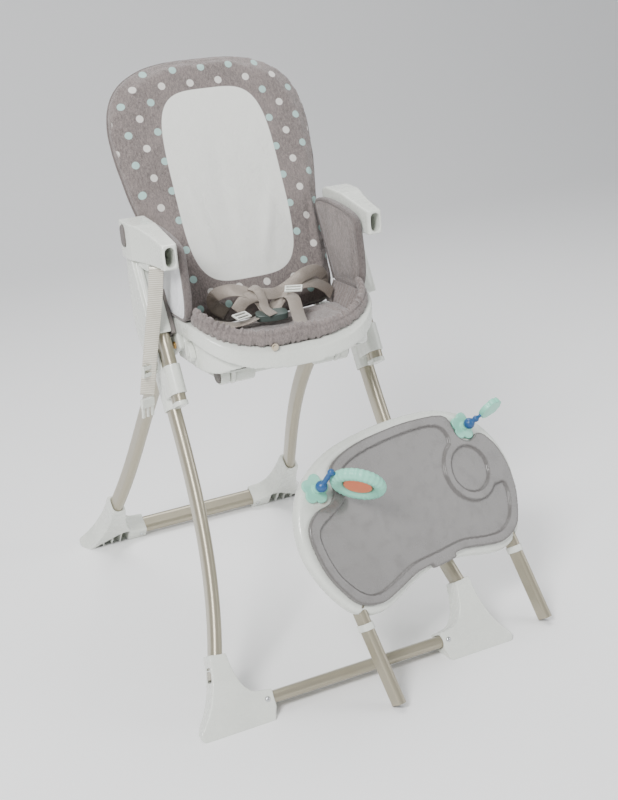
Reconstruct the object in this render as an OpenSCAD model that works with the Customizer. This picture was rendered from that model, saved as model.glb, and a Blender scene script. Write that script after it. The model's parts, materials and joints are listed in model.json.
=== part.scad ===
// Folding baby high chair with a detachable play tray standing in front of it.
// Millimetres, +Z up, the chair faces -Y, +X is the viewer's right.

/* [Frame] */
// Width across the toes of the front feet
front_width = 580; // [550:1:610]
// Width across the toes of the rear feet
rear_width = 525; // [500:1:550]
// Long side of the flat-oval leg tube
tube_long = 36; // [33:1:38]
// Short side of the flat-oval leg tube
tube_short = 20; // [18:1:22]
// Wall thickness of the steel tubes
gauge = 1.4; // [1.2:0.1:1.8]
// Wall of the foot mouldings
foot_wall = 3; // [2.5:0.5:4]

/* [Rails] */
// Half distance between the two seat rails
rail_x = 184; // [180:1:190]
// Exposed and hidden length of each rail
rail_len = 222; // [210:1:226]
// Running gap between the rail and the seat carriage
slide_gap = 0.6; // [0.4:0.1:1]

/* [Seat] */
// Half width of the seat pan rim
pan_half = 163; // [158:1:164]
// How far the pan reaches forward of the frame centre
pan_front = 285; // [270:1:300]
// Height of the rim at the sides
rim_z = 610; // [605:1:616]
// Height of the rim at the front lip
lip_z = 552; // [540:1:565]
// Depth of the rolled rim
rim_h = 26; // [22:1:30]
// Thickness of the seat cushion
cushion_h = 34; // [26:1:38]

/* [Backrest] */
// Lean of the backrest from upright, degrees
back_lean = 22.5; // [18:0.5:26]
// Height of the back pad along its own plane
back_h = 462; // [430:1:490]
// Largest half width of the back pad
back_half = 184; // [176:1:190]
// Thickness of the back pad
back_t = 34; // [26:1:40]

/* [Tray] */
// Half distance between the tray tubes
tray_tube_x = 184; // [178:1:190]
// Half width of the tray body
tray_half = 247; // [235:1:255]
// Depth of the tray body
tray_depth = 290; // [270:1:305]
// Thickness of the white tray body
tray_t = 34; // [28:1:38]
// Tilt of the standing tray from upright, degrees
tray_tilt = 30.3; // [28:0.1:34]

/* [Toys] */
// Outer radius of the ring toy
ring_r = 47; // [42:1:49]
// Radius of the recess for a cup
cup_r = 42; // [36:1:44]
// Radius of the ball joints
ball_r = 7; // [6:0.5:8]

/* [Hidden] */
$fn = 48;
rail_lean = 26.7;
rail_y = -172;
rail_z = 477;
rail_long = 38;
rail_short = 20;
leg_off = 48;              // front leg axis behind the rail axis
piv_y = 43;                // rear pivot, in the rail's own frame
piv_s = 105;
hinge_r = 4;
hinge_gap = 0.05;

cl = cos(rail_lean);
sl = sin(rail_lean);
function rail_pt(y, s) = [rail_y + y * cl + s * sl, rail_z - y * sl + s * cl];
pivot = rail_pt(piv_y, piv_s);

// front foot plane and leg
f_entry = [front_width / 2 - 60, -342, 97];
f_slope = 0.6;
f_lam = atan(f_slope);
f_y0 = f_entry[1] - f_entry[2] * f_slope;
f_top = rail_pt(leg_off, 50);
// rear foot plane and leg
r_entry = [rear_width / 2 - 64.5, 304.5, 119];
r_slope = 0.8;
r_lam = atan(r_slope);
r_y0 = r_entry[1] + r_entry[2] * r_slope;
rear_leg_x = 161;

foot_t = tube_long + 2 * foot_wall - 0.4;

// tray placing
tray_yaw = 15.5;
plug_a = 15.4;             // tray tube section
plug_b = 30;
tray_tube_n = -4.5;        // tube axis below the tray's middle plane
tray_c = [197, -454, (plug_b / 2 - tray_tube_n) * sin(tray_tilt)];
tray_w0 = 143.5;           // tube tip to the tray's near edge

module place() { translate([-shift[0], -shift[1], 0]) children(); }

WHITE = [0.93, 0.94, 0.92];
METAL = [0.74, 0.72, 0.66];
FABRIC = [0.62, 0.58, 0.57];
GREY = [0.58, 0.57, 0.56];
DARK = [0.42, 0.40, 0.38];
MINT = [0.72, 0.89, 0.83];
BLUE = [0.30, 0.48, 0.68];
CORAL = [0.92, 0.64, 0.54];
WEB = [0.69, 0.65, 0.60];
BRASS = [0.80, 0.65, 0.40];
STEEL = [0.75, 0.75, 0.76];

// ---------- helpers ----------
function unit(v) = v / norm(v);
function bez(a, b, c, n) = [for (i = [0:n]) let (t = i / n)
  a * (1 - t) * (1 - t) + b * 2 * t * (1 - t) + c * t * t];
function cr(p0, p1, p2, p3, t) = 0.5 * (2 * p1 + (p2 - p0) * t + (2 * p0 - 5 * p1 + 4 * p2 - p3) * t * t
  + (3 * p1 - p0 - 3 * p2 + p3) * t * t * t);
// closed smooth curve through points
function loop(p, n) = let (m = len(p)) [for (i = [0:m - 1], k = [0:n - 1])
  cr(p[(i + m - 1) % m], p[i], p[(i + 1) % m], p[(i + 2) % m], k / n)];
// open smooth curve through points
function curve(p, n) = let (m = len(p)) concat([for (i = [0:m - 2], k = [0:n - 1])
  cr(p[max(i - 1, 0)], p[i], p[i + 1], p[min(i + 2, m - 1)], k / n)], [p[m - 1]]);
// outline moved inward by d along its own normals (counter-clockwise outline)
function inset(p, d) = let (m = len(p)) [for (i = [0:m - 1])
  let (t = unit(p[(i + 1) % m] - p[(i + m - 1) % m])) p[i] + d * [-t[1], t[0]]];
function mirrored(p) = [for (i = [len(p) - 1:-1:0]) [-p[i][0], p[i][1]]];
// stadium outline, a across, b long, k points a side
function stadium(a, b, k = 8) = concat(
  [for (i = [0:k]) [a / 2 * cos(180 * i / k), (b - a) / 2 + a / 2 * sin(180 * i / k)]],
  [for (i = [0:k]) [-a / 2 * cos(180 * i / k), -(b - a) / 2 - a / 2 * sin(180 * i / k)]]);
function box2(a, b) = [[a / 2, -b / 2], [a / 2, b / 2], [-a / 2, b / 2], [-a / 2, -b / 2]];

// closed skin between rings of equal length
module skin(rings) {
  m = len(rings[0]);
  k = len(rings);
  pts = [for (r = rings, q = r) q];
  faces = concat(
    [[for (j = [0:m - 1]) j]],
    [for (i = [0:k - 2], j = [0:m - 1]) [i * m + j, (i + 1) * m + j, (i + 1) * m + (j + 1) % m]],
    [for (i = [0:k - 2], j = [0:m - 1]) [i * m + j, (i + 1) * m + (j + 1) % m, i * m + (j + 1) % m]],
    [[for (j = [m - 1:-1:0]) (k - 1) * m + j]]);
  polyhedron(points = pts, faces = faces, convexity = 6);
}
// profile carried along a path; the profile's y axis keeps to the reference n
function rings(path, prof, n) = let (k = len(path)) [for (i = [0:k - 1])
  let (t = unit(path[min(i + 1, k - 1)] - path[max(i - 1, 0)]),
       b = unit(cross(n, t)),
       l = cross(t, b))
  [for (q = prof) path[i] + b * q[0] + l * q[1]]];
module sweep(path, prof, n) { skin(rings(path, prof, n)); }
// open tube: outer and inner profile of equal length
module tube(path, outer, inner, n) {
  a = rings(path, outer, n);
  b = rings(path, inner, n);
  k = len(path);
  m = len(outer);
  all = concat(a, [for (i = [k - 1:-1:0]) b[i]]);
  t = 2 * k;
  polyhedron(points = [for (r = all, q = r) q], convexity = 8, faces = concat(
    [for (i = [0:t - 1], j = [0:m - 1]) let (u = (i + 1) % t) [i * m + j, u * m + j, u * m + (j + 1) % m]],
    [for (i = [0:t - 1], j = [0:m - 1]) let (u = (i + 1) % t) [i * m + j, u * m + (j + 1) % m, i * m + (j + 1) % m]]));
}
// pillow between levels [z, inset]
module loft(outline, levels) {
  skin([for (v = [len(levels) - 1:-1:0]) [for (q = inset(outline, levels[v][1])) [q[0], q[1], levels[v][0]]]]);
}
module side(s) { mirror([s < 0 ? 1 : 0, 0, 0]) children(); }
module slab(a, b, h, z = 0) {
  translate([0, 0, z]) linear_extrude(h) union() {
    square([a, b - a], center = true);
    for (i = [-1, 1]) translate([0, i * (b - a) / 2]) circle(d = a);
  }
}
module pipe(a, b, h) { difference() { slab(a, b, h); slab(a - 2 * gauge, b - 2 * gauge, h + 2, -1); } }
module rodx(r, x0, x1) { translate([x0, 0, 0]) rotate([0, 90, 0]) cylinder(r = r, h = x1 - x0); }
module plate_yz(pts, x0, x1) { translate([x0, 0, 0]) rotate([90, 0, 90]) linear_extrude(x1 - x0) polygon(pts); }
module rail_frame() { translate([rail_x, rail_y, rail_z]) rotate([-rail_lean, 0, 0]) children(); }
module back_frame() { translate([0, back_o[0], back_o[1]]) rotate([-back_lean, 0, 0]) children(); }
module tray_frame() { translate(tray_c) rotate([90 - tray_tilt, 0, tray_yaw]) children(); }

// ---------- front frame ----------
f_k = f_slope * (f_top[1] - f_entry[2]) / (f_top[0] - f_entry[1]) - 1;
function f_leg(t) = [rail_x + (f_entry[0] - rail_x) * t * t * t,
  f_top[0] + (f_entry[1] - f_top[0]) * ((1 - f_k) * t + f_k * t * t),
  f_top[1] + (f_entry[2] - f_top[1]) * t];
f_dir = unit(f_leg(1) - f_leg(0.999));
f_n = [0, cos(f_lam), -sin(f_lam)];
f_tilt = asin(f_dir[0]);
module front_leg(s) {
  color(METAL) place() side(s) tube(
    concat([for (i = [0:16]) f_leg(i / 16)], [f_leg(1) + f_dir * 20, f_leg(1) + f_dir * 40]),
    stadium(tube_short, tube_long, 6), stadium(tube_short - 2 * gauge, tube_long - 2 * gauge, 6), f_n);
}
module front_leg_left() { front_leg(-1); }
module front_leg_right() { front_leg(1); }

f_bar_x = 158;
f_bar_v = 23.5;
module front_crossbar() {
  color(METAL) place() translate([0, f_y0, 0]) rotate([90 - f_lam, 0, 0])
    translate([-f_bar_x - 34, f_bar_v, 0]) rotate([90, 0, 90]) pipe(tube_short, tube_long, 2 * f_bar_x + 68);
}
// foot outline in its own plane: u outward, v up the plane
function foot_line(u, v, toe, bar, bv, w) = concat(
  bez([u + w + 2, v + 4], [u + w + 5, v * 0.42], [toe, 3], 10),
  [[toe + 1.5, -4], [toe - 2, -12], [toe - 8, -24], [bar + 10, -24], [bar + 3, 3], [bar, 9]],
  [[bar, bv + w + 1]],
  bez([bar + 22, bv + w + 4], [u - w - 5, bv + w + 8], [u - w - 1, v + 4 - w * 0.3], 10));
module foot(u, v, toe, bar, bv, tilt, outer) {
  w = tube_short / 2 + foot_wall;
  difference() {
    linear_extrude(foot_t, center = true) polygon(foot_line(u, v, toe, bar, bv, w));
    // leg socket
    translate([u, v, 0]) rotate([0, 0, tilt]) translate([0, 10, 0]) rotate([90, 0, 0])
      slab(tube_short + 0.4, tube_long + 0.4, 52.5);
    // crossbar socket
    translate([bar - 1, bv, 0]) rotate([90, 0, 90]) slab(tube_short + 0.4, tube_long + 0.4, 35.5);
    // ribbed hollow on the inner side
    for (k = [0:3]) let (a = bar + 42 + k * (toe - bar - 62) / 4, b = a + (toe - bar - 62) / 4 - 3)
      translate([0, 0, outer > 0 ? -foot_t : -foot_t / 2 + foot_wall + 0.0])
        linear_extrude(foot_t * 1.5 - foot_wall) polygon([[a, 6], [b, 6],
          [b, min(v * 0.36, 6 + (toe - b) * 0.62)], [a, min(v * 0.36, 6 + (toe - a) * 0.62)]]);
    // screw
    translate([bar + 12, bv, 0]) cylinder(r = 2.2, h = 60, center = true);
  }
}
module floor_cut() { translate([-600, -700, -80]) cube([1200, 1400, 80]); }
module front_foot(s) {
  color(WHITE) place() side(s) difference() {
    translate([0, f_y0, 0]) rotate([90 - f_lam, 0, 0])
      foot(f_entry[0], f_entry[2] / cos(f_lam), front_width / 2, f_bar_x, f_bar_v, f_tilt, 1);
    floor_cut();
  }
}
module front_foot_left() { front_foot(-1); }
module front_foot_right() { front_foot(1); }
module screw(h) { cylinder(r = 2, h = h); translate([0, 0, h]) intersection() {
  cylinder(r = 4.6, h = 3); translate([0, 0, -3]) sphere(r = 5.6); } }
module front_screws() {
  color(STEEL) place() for (s = [-1, 1]) side(s)
    translate([0, f_y0, 0]) rotate([90 - f_lam, 0, 0])
      translate([f_bar_x + 12, f_bar_v, tube_long / 2 + 0.4]) screw(foot_t / 2 - tube_long / 2 - 0.4);
}

// bracket that ties the leg top to the rail
module leg_bracket(s) {
  color(WHITE) place() side(s) rail_frame() difference() {
    union() {
      translate([0, 0, 12]) slab(27, rail_long + 7, 50);
      translate([0, leg_off, -6]) slab(27, tube_long + 6, 62);
      translate([-13.5, rail_long / 2 - 6, 12]) cube([27, 20, 44]);
      plate_yz([[10, 56], [leg_off + 8, 50], [leg_off - 10, 86], [14, 98], [8, 90]], 8.2, 13.5);
    }
    translate([0, 0, -30]) slab(rail_short + 0.2, rail_long + 0.2, 160);
    translate([0, leg_off, -7]) slab(tube_short + 3, tube_long + 3, 58.5);
  }
}
module leg_bracket_left() { leg_bracket(-1); }
module leg_bracket_right() { leg_bracket(1); }

module rail(s) {
  color(METAL) place() side(s) rail_frame() difference() {
    slab(rail_short, rail_long, rail_len);
    slab(rail_short - 7, rail_long - 2 * gauge, rail_len + 2, -1);
    for (i = [-1, 1]) translate([i * (rail_short / 2 + 1.2), 0, -1]) cylinder(r = 2.2, h = rail_len + 2);
  }
}
module rail_left() { rail(-1); }
module rail_right() { rail(1); }
module rail_caps() {
  color(WHITE) place() for (s = [-1, 1]) side(s) rail_frame() {
    slab(rail_short + 3, rail_long + 3, 8, -8);
  }
}
// lugs behind the rails that carry the rear frame's pins
module pivot_lugs() {
  color(DARK) place() for (s = [-1, 1]) side(s) rail_frame() {
    difference() {
      union() {
        translate([-rail_short / 2 + 2, rail_long / 2 + 0.1, piv_s - 17]) cube([9, piv_y - rail_long / 2, 34]);
        translate([0, piv_y, piv_s]) rodx(17, -rail_short / 2 + 2, -rail_short / 2 + 11);
      }
      translate([0, piv_y, piv_s]) rodx(hinge_r, -30, -4);
    }
    translate([0, piv_y, piv_s]) rodx(hinge_r, 152.3 - rail_x, -4);
    translate([0, piv_y, piv_s]) rodx(5.6, 152.3 - rail_x, 153.3 - rail_x);
  }
}

// ---------- rear frame ----------
function r_g(t) = t + (0.6 - 0.5 * t) * t * (1 - t);
function r_leg(t) = [rear_leg_x + (r_entry[0] - rear_leg_x) * (-0.55 * t + 1.55 * t * t),
  pivot[0] + (r_entry[1] - pivot[0]) * r_g(t), pivot[1] + (r_entry[2] - pivot[1]) * t];
r_dx = r_leg(1)[0] - r_leg(0.999)[0];
r_dz = r_leg(1)[2] - r_leg(0.999)[2];
r_dir = unit([r_dx, -r_slope * r_dz, r_dz]);
r_n = [0, cos(r_lam), sin(r_lam)];
r_tilt = asin(r_dir[0]);
module rear_leg(s) {
  color(METAL) place() side(s) tube(
    concat([for (i = [1:16]) r_leg(i / 16)], [r_leg(1) + r_dir * 20, r_leg(1) + r_dir * 40]),
    stadium(tube_short, tube_long, 6), stadium(tube_short - 2 * gauge, tube_long - 2 * gauge, 6), r_n);
}
module rear_leg_left() { rear_leg(-1); }
module rear_leg_right() { rear_leg(1); }
r_bar_x = 126;
r_bar_v = 30;
module rear_crossbar() {
  color(METAL) place() translate([0, r_y0, 0]) rotate([90 + r_lam, 0, 0])
    translate([-r_bar_x - 34, r_bar_v, 0]) rotate([90, 0, 90]) pipe(tube_short, tube_long, 2 * r_bar_x + 68);
}
module rear_foot(s) {
  color(WHITE) place() side(s) difference() {
    translate([0, r_y0, 0]) rotate([90 + r_lam, 0, 0])
      foot(r_entry[0], r_entry[2] / cos(r_lam), rear_width / 2, r_bar_x, r_bar_v, r_tilt, -1);
    floor_cut();
  }
}
module rear_foot_left() { rear_foot(-1); }
module rear_foot_right() { rear_foot(1); }
module rear_screws() {
  color(STEEL) place() for (s = [-1, 1]) side(s)
    translate([0, r_y0, 0]) rotate([90 + r_lam, 0, 0])
      translate([r_bar_x + 12, r_bar_v, tube_long / 2 + 0.4]) screw(foot_t / 2 - tube_long / 2 - 0.4);
}
// plug at the top of each rear leg, bored for the pin
r_up = unit(r_leg(0) - r_leg(1 / 16));
r_ang = atan2(r_up[1], r_up[2]);
module rear_hubs() {
  color(WHITE) place() for (s = [-1, 1]) side(s) translate([rear_leg_x, pivot[0], pivot[1]]) difference() {
    union() {
      rodx(19, -7.5, 9.5);
      rotate([-r_ang, 0, 0]) translate([0, 0, -26]) slab(17, 32, 20);
    }
    rodx(hinge_r + hinge_gap, -40, 40);
  }
}

// ---------- seat carriage ----------
h_in = rail_x + rail_short / 2 + slide_gap;
h_top = 707;
module side_housing(s) {
  color(WHITE) place() side(s) difference() {
    union() {
      plate_yz(concat([[-28, h_top], [-22, 668]], bez([-21, 630], [-22, 560], [-55, 541], 8),
        [[-64, 537], [-74, 541], [-100, 566], [rail_pt(-25, 115)[0], rail_pt(-25, 115)[1]]],
        [[rail_pt(-25, 235)[0] - 6, rail_pt(-25, 235)[1]], [-142, h_top]]), h_in, h_in + 7.5);
      intersection() {
        rail_frame() translate([-rail_short / 2 - slide_gap, -25, 115]) cube([37, 5.4 - slide_gap + 0.2, 220]);
        translate([0, -300, 400]) cube([400, 400, h_top - 400]);
      }
      translate([168.5, -142, h_top - 12]) cube([h_in + 7 - 168.5, 112, 12]);
    }
    rail_frame() translate([0, 0, -40]) slab(rail_short + 2 * slide_gap, rail_long + 2 * slide_gap, rail_len + 52);
  }
}
module side_housing_left() { side_housing(-1); }
module side_housing_right() { side_housing(1); }
module slide_blocks() {
  color(DARK) place() for (s = [-1, 1]) side(s) rail_frame()
    translate([165.4 - rail_x, -22, 112]) cube([rail_x - rail_short / 2 - slide_gap - 165.4, 39, 76]);
}
module seat_rivets() {
  color(BRASS) place() for (s = [-1, 1]) side(s) rail_frame() translate([0, 5, 96]) {
    rodx(6, 165.3 - rail_x, 167.8 - rail_x);
    rodx(3, 157.5 - rail_x, 165.4 - rail_x);
  }
}

arm_x0 = 168.5;
module armrest(s) {
  color(WHITE) place() side(s) difference() {
    intersection() {
      translate([0, 0, 690]) linear_extrude(100) polygon(concat(
        [[arm_x0, -36]], bez([174, -26], [206, -22], [213.5, -50], 6), [[213.5, -84]],
        bez([212, -96], [197, -140], [194.5, -206], 8), [[192, -209], [172, -209], [arm_x0, -204]]));
      plate_yz(concat(bez([-26, 742], [-26, 768], [-52, 770], 6), [[-110, 766], [-206, 746], [-209, 743],
        [-209, 708], [-206, 705.5], [-150, h_top + 0.1], [-48, h_top + 0.1]], bez([-42, 708], [-27, 718], [-26, 742], 4)),
        160, 220);
    }
    // tray tube socket
    translate([182, -90, 726]) rotate([90, 0, 0]) slab(plug_a + 1, plug_b + 1.4, 130);
    // button pocket
    translate([205.2, -67, 745]) rotate([90, 0, 90]) slab(21, 37, 20);
    translate([198, -67, 745]) rotate([0, 90, 0]) cylinder(r = 4.1, h = 20);
  }
}
module armrest_left() { armrest(-1); }
module armrest_right() { armrest(1); }
module armrest_button(s) {
  color(GREY) place() side(s) translate([0, -67, 745]) {
    translate([209.4, 0, 0]) rotate([90, 0, 90]) slab(20, 36, 6.2);
    rodx(4, 202.3, 210);
  }
}
module armrest_button_left() { armrest_button(-1); }
module armrest_button_right() { armrest_button(1); }

function pan_ring(d, y1) = let (f = bez([pan_half - d, -195], [pan_half - d - 4, -pan_front + d + 8], [34, -pan_front + d], 14))
  concat([for (i = [len(f) - 1:-1:0]) f[i]], [[pan_half - d, y1], [-pan_half + d, y1]],
    [for (q = f) [-q[0], q[1]]]);
function rim_top(e) = concat([[-40, rim_z - 16 + e], [-104, rim_z - 4 + e], [-130, rim_z + e]],
  bez([-190, rim_z + e], [-236, rim_z + e], [-pan_front - 6, lip_z + e], 8));
pan_floor = 540;
foot_piv = [-186, 513];
module seat_pan() {
  color(WHITE) place() difference() {
    union() {
      // rolled rim following the side curve
      intersection() {
        translate([0, 0, 480]) linear_extrude(160) difference() {
          polygon(pan_ring(0, -96));
          polygon(pan_ring(13, -90));
        }
        plate_yz(concat(rim_top(0), [for (i = [len(rim_top(0)) - 1:-1:0]) rim_top(-rim_h)[i]]), -200, 200);
      }
      // bowl
      intersection() {
        translate([0, 0, 480]) linear_extrude(160) difference() {
          polygon(pan_ring(11, -96));
          polygon(pan_ring(14, -90));
        }
        plate_yz(concat(rim_top(-2), [[-270, 545], [-240, pan_floor - 8], [-60, pan_floor - 8]]), -200, 200);
      }
      translate([0, 0, pan_floor - 8]) linear_extrude(4) difference() {
        intersection() { polygon(pan_ring(17, -60)); translate([-200, -246]) square([400, 250]); }
      }
      // webs and yokes that carry the footrest
      for (s = [-1, 1]) side(s) {
        plate_yz([[-212, 531], [-160, 533], [-165, foot_piv[1] - 10], [-178, foot_piv[1] - 17],
          [-194, foot_piv[1] - 17], [-206, foot_piv[1] - 6]], 92, 100);
        plate_yz([[-100, 534], [-52, 534], [-54, 560], [-60, 568], [-74, 568], [-84, 556]], 134, 148);
        // tab that is riveted to the carriage
        rail_frame() translate([156 - rail_x, -16, 84]) cube([9.2, 32, 48]);
      }
    }
    for (s = [-1, 1]) side(s) {
      translate([0, foot_piv[0], foot_piv[1]]) rodx(8 + hinge_gap, 80, 110);
      translate([0, rec_piv[0], rec_piv[1]]) rodx(hinge_r + hinge_gap, 130, 155);
      rail_frame() translate([0, 5, 96]) rodx(3, 150 - rail_x, 170 - rail_x);
      // lightening slots in the floor
      translate([70, -120, pan_floor - 20]) slab(16, 70, 30);
    }
    translate([0, -170, pan_floor - 20]) rotate([0, 0, 90]) slab(8, 36, 30);
  }
}
module seat_hooks() {
  color(WHITE) place() for (s = [-1, 1]) side(s) difference() {
    plate_yz(concat(bez([-172, 574], [-186, 572], [-190, 556], 6), [[-190, 552], [-186, 546], [-170, 545],
      [-162, 549], [-162, 574]]), pan_half - 10.8, pan_half - 1);
    plate_yz([[-168, 575], [-182, 563], [-183, 554], [-168, 552]], pan_half - 7, pan_half + 9);
  }
}

// soft pieces of the seat
pad_z = pan_floor + 6;
module seat_pad() {
  color(FABRIC) place() translate([0, 0, 0]) loft(pan_ring(17, -112), [[pad_z, 8], [pad_z + 6, 1], [pad_z + cushion_h - 10, 1],
    [pad_z + cushion_h - 3, 5], [pad_z + cushion_h, 16]]);
}
function flap_edge(e) = [for (q = rim_top(e)) if (q[0] < -150) q];
module front_flap() {
  color(FABRIC) place() intersection() {
    translate([0, 0, 500]) linear_extrude(150) difference() {
      polygon(pan_ring(4, -192));
      polygon(pan_ring(16.6, -150));
    }
    plate_yz(concat(flap_edge(0.4), [for (i = [len(flap_edge(0)) - 1:-1:0]) flap_edge(26)[i] - [0, i == 0 ? 16 : 0]]), -200, 200);
  }
}
module flap_snap() {
  color(BRASS) place() translate([-50, -pan_front + 4.9, lip_z + 19]) rotate([90, 0, -4]) {
    cylinder(r = 6, h = 2); translate([0, 0, 2]) cylinder(r = 3.4, h = 1.6);
  }
}
wing_line = concat(curve([[-35, 744], [-60, 752], [-120, 748], [-172, 738], [-188, 726], [-194, 690], [-197, 650],
  [-190, 622]], 4), [[-180, rim_z + 3], [-96, rim_z + 3]]);
module wing(s) {
  color(FABRIC) place() side(s) translate([151.5, 0, 0]) rotate([90, 0, 90])
    loft([for (i = [len(wing_line) - 1:-1:0]) wing_line[i]], [[0, -3.5], [3, -0.5], [9.5, -0.5], [12.5, -3.5]]);
}
module wing_left() { wing(-1); }
module wing_right() { wing(1); }

// harness left gathered on the cushion
hz = pad_z + cushion_h;
module strap(pts, w, n) { sweep(curve(pts, 5), box2(1.8, w), n); }
module lap_straps() {
  color(WEB) place() {
    strap([[-128, -128, hz + 16], [-100, -150, hz + 10], [-70, -165, hz + 5], [-38, -172, hz + 9]], 24, [0.3, 1, 0]);
    strap([[128, -128, hz + 14], [98, -132, hz + 30], [66, -138, hz + 38], [36, -150, hz + 26], [22, -164, hz + 14]], 24, [0, 0.4, 1]);
  }
}
module crotch_strap() {
  color(WEB) place() strap([[-6, -236, hz - 1 + 3], [-4, -222, hz + 5], [-3, -204, hz + 9], [-3, -190, hz + 11]], 24, [1, 0, 0]);
}
module shoulder_straps() {
  color(WEB) place() {
    strap([[-66, -116, hz + 12], [-78, -128, hz + 40], [-64, -140, hz + 56], [-44, -146, hz + 46], [-34, -152, hz + 22]], 22, [0.3, 1, 0.2]);
    strap([[60, -114, hz + 14], [58, -124, hz + 50], [36, -134, hz + 62], [10, -140, hz + 50], [2, -150, hz + 26]], 22, [-0.3, 1, 0.3]);
  }
}
module buckle() {
  color(DARK) place() translate([-6, -172, hz + 13]) rotate([8, 0, -12]) difference() {
    linear_extrude(11, center = true) polygon(loop([[-24, -12], [0, -16], [24, -12], [27, 0], [23, 12], [0, 15], [-23, 12], [-27, 0]], 4));
    translate([0, 0, 4]) cylinder(r = 6, h = 10);
  }
}
module adjusters() {
  color(WHITE) place() for (p = [[-58, -168, hz + 20, 20], [44, -158, hz + 47, -30]])
    translate([p[0], p[1], p[2]]) rotate([20, 0, p[3]]) difference() {
      linear_extrude(3, center = true) square([30, 18], center = true);
      for (y = [-4, 4]) translate([0, y, 0]) cube([25, 4.4, 10], center = true);
    }
}

// webbing hanging from the left armrest
function teth(i) = [[-191, -157, 704], [-198, -151, 650], [-208.6, -144, 590], [-218, -134, 530], [-225, -128, 486]][i];
module tether_strap() {
  color(WHITE) place() sweep(curve([for (i = [0:4]) teth(i)], 6), box2(2, 24), [0.94, -0.34, 0]);
}
module tether_lock() {
  color(WHITE) place() translate(teth(3) + [1.5, 0, 0]) rotate([0, 8, -66]) difference() {
    cube([6.4, 33, 20], center = true);
    cube([4.4, 28, 30], center = true);
    cube([20, 27, 5], center = true);
  }
}
module tether_clip() {
  color(WHITE) place() translate(teth(4) + [-1, 0, -13]) rotate([0, 7, -70]) {
    cube([6, 26, 16], center = true);
    for (y = [-9.5, 0, 9.5]) translate([0, y, -16]) cube([4, y == 0 ? 4 : 5, 20], center = true);
  }
}

// ---------- backrest ----------
back_o = [-83.3 + 0.5 * (22.5 - back_lean), 575];
rec_piv = [-67, 557];
back_line = let (k = back_half / 184, h = back_h / 462) loop(concat(
  [[0, -4], [90, -4], [144, 4], [156, 40], [160, 110], [164, 175 * h]],
  [[175 * k, 235 * h], [182 * k, 290 * h], [184 * k, 345 * h], [174 * k, 392 * h], [150 * k, 427 * h], [104 * k, 452 * h], [50 * k, 461 * h], [0, 462 * h]],
  [[-50 * k, 461 * h], [-104 * k, 452 * h], [-150 * k, 427 * h], [-174 * k, 392 * h], [-184 * k, 345 * h], [-182 * k, 290 * h], [-175 * k, 235 * h]],
  [[-164, 175 * h], [-160, 110], [-156, 40], [-144, 4], [-90, -4]]), 3);
module back_pad() {
  color(FABRIC) place() back_frame() rotate([90, 0, 0]) loft(back_line,
    [[-back_t / 2 + 2, 10], [-back_t / 2 + 6, 2], [0, 0.2], [back_t / 2 - 8, 2], [back_t / 2 - 2, 9], [back_t / 2, 22]]);
}
module back_shell() {
  color(WHITE) place() difference() {
    union() {
      back_frame() translate([0, back_t / 2 + 6, 0]) rotate([90, 0, 0]) linear_extrude(6)
        polygon(inset(back_line, 9));
      back_frame() for (z = [70, 190, 310]) translate([-110, back_t / 2 + 5.9, z]) cube([220, 8, 6]);
      back_frame() for (x = [-92, 86]) translate([x, back_t / 2 + 5.9, 40]) cube([6, 10, 330]);
      for (s = [-1, 1]) side(s) recline_lug();
      back_frame() for (x = [-20, 12.6]) translate([x, back_t / 2 + 5.9, 351]) cube([7.4, 7, 60]);
    }
    for (s = [-1, 1]) side(s) {
      back_frame() for (z = [252, 332]) translate([38, 60, z]) rotate([90, 0, 0]) rotate([0, 0, 90]) slab(8, 34, 80);
    }
  }
}
module recline_lug() {
  translate([0, rec_piv[0], rec_piv[1]]) {
    rodx(10, 122, 132.5);
    rodx(hinge_r, 130, 149);
  }
  back_frame() translate([122.5, back_t / 2 - 1.5, -16]) cube([9.5, 9.5, 40]);
}
module recline_lever() {
  color(GREY) place() back_frame() translate([0, back_t / 2 + 18, 385]) {
    difference() {
      translate([0, 5, 0]) rotate([90, 0, 0]) linear_extrude(10) polygon(loop([[-46, -26], [0, -32], [46, -26], [52, 0], [44, 14], [0, 16], [-44, 14], [-52, 0]], 4));
      translate([0, 8, -10]) rotate([90, 0, 0]) rotate([0, 0, 90]) slab(18, 62, 20);
    }
    translate([-12, -10.6, 3]) cube([24, 6, 12]);
  }
}

// ---------- footrest, stowed under the pan ----------
module footrest_frame() {
  color(WHITE) place() translate([0, foot_piv[0], foot_piv[1]]) difference() {
    union() {
      rodx(8, -118, 118);
      for (s = [-1, 1]) side(s) {
        rodx(17, 101, 118);
        rodx(17, 56, 91);
        rotate([-4, 0, 0]) translate([103, 0, -9]) cube([12, 124, 16]);
      }
      rotate([-4, 0, 0]) translate([-115, 112, -9]) cube([230, 14, 16]);
    }
    for (s = [-1, 1]) side(s) { rodx(13.4, 112.9, 130); rodx(3.6, 100, 130); }
  }
}
module footrest_panel() {
  color(WHITE) place() translate([0, foot_piv[0], foot_piv[1]]) rotate([-4, 0, 0])
    translate([-102, 30, -4]) cube([204, 81, 5]);
}
module footrest_button(s) {
  color(GREY) place() side(s) translate([0, foot_piv[0], foot_piv[1]]) {
    rodx(13, 116.9, 120.5);
    rodx(3.5, 106, 118);
  }
}
module footrest_button_left() { footrest_button(-1); }
module footrest_button_right() { footrest_button(1); }

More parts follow.
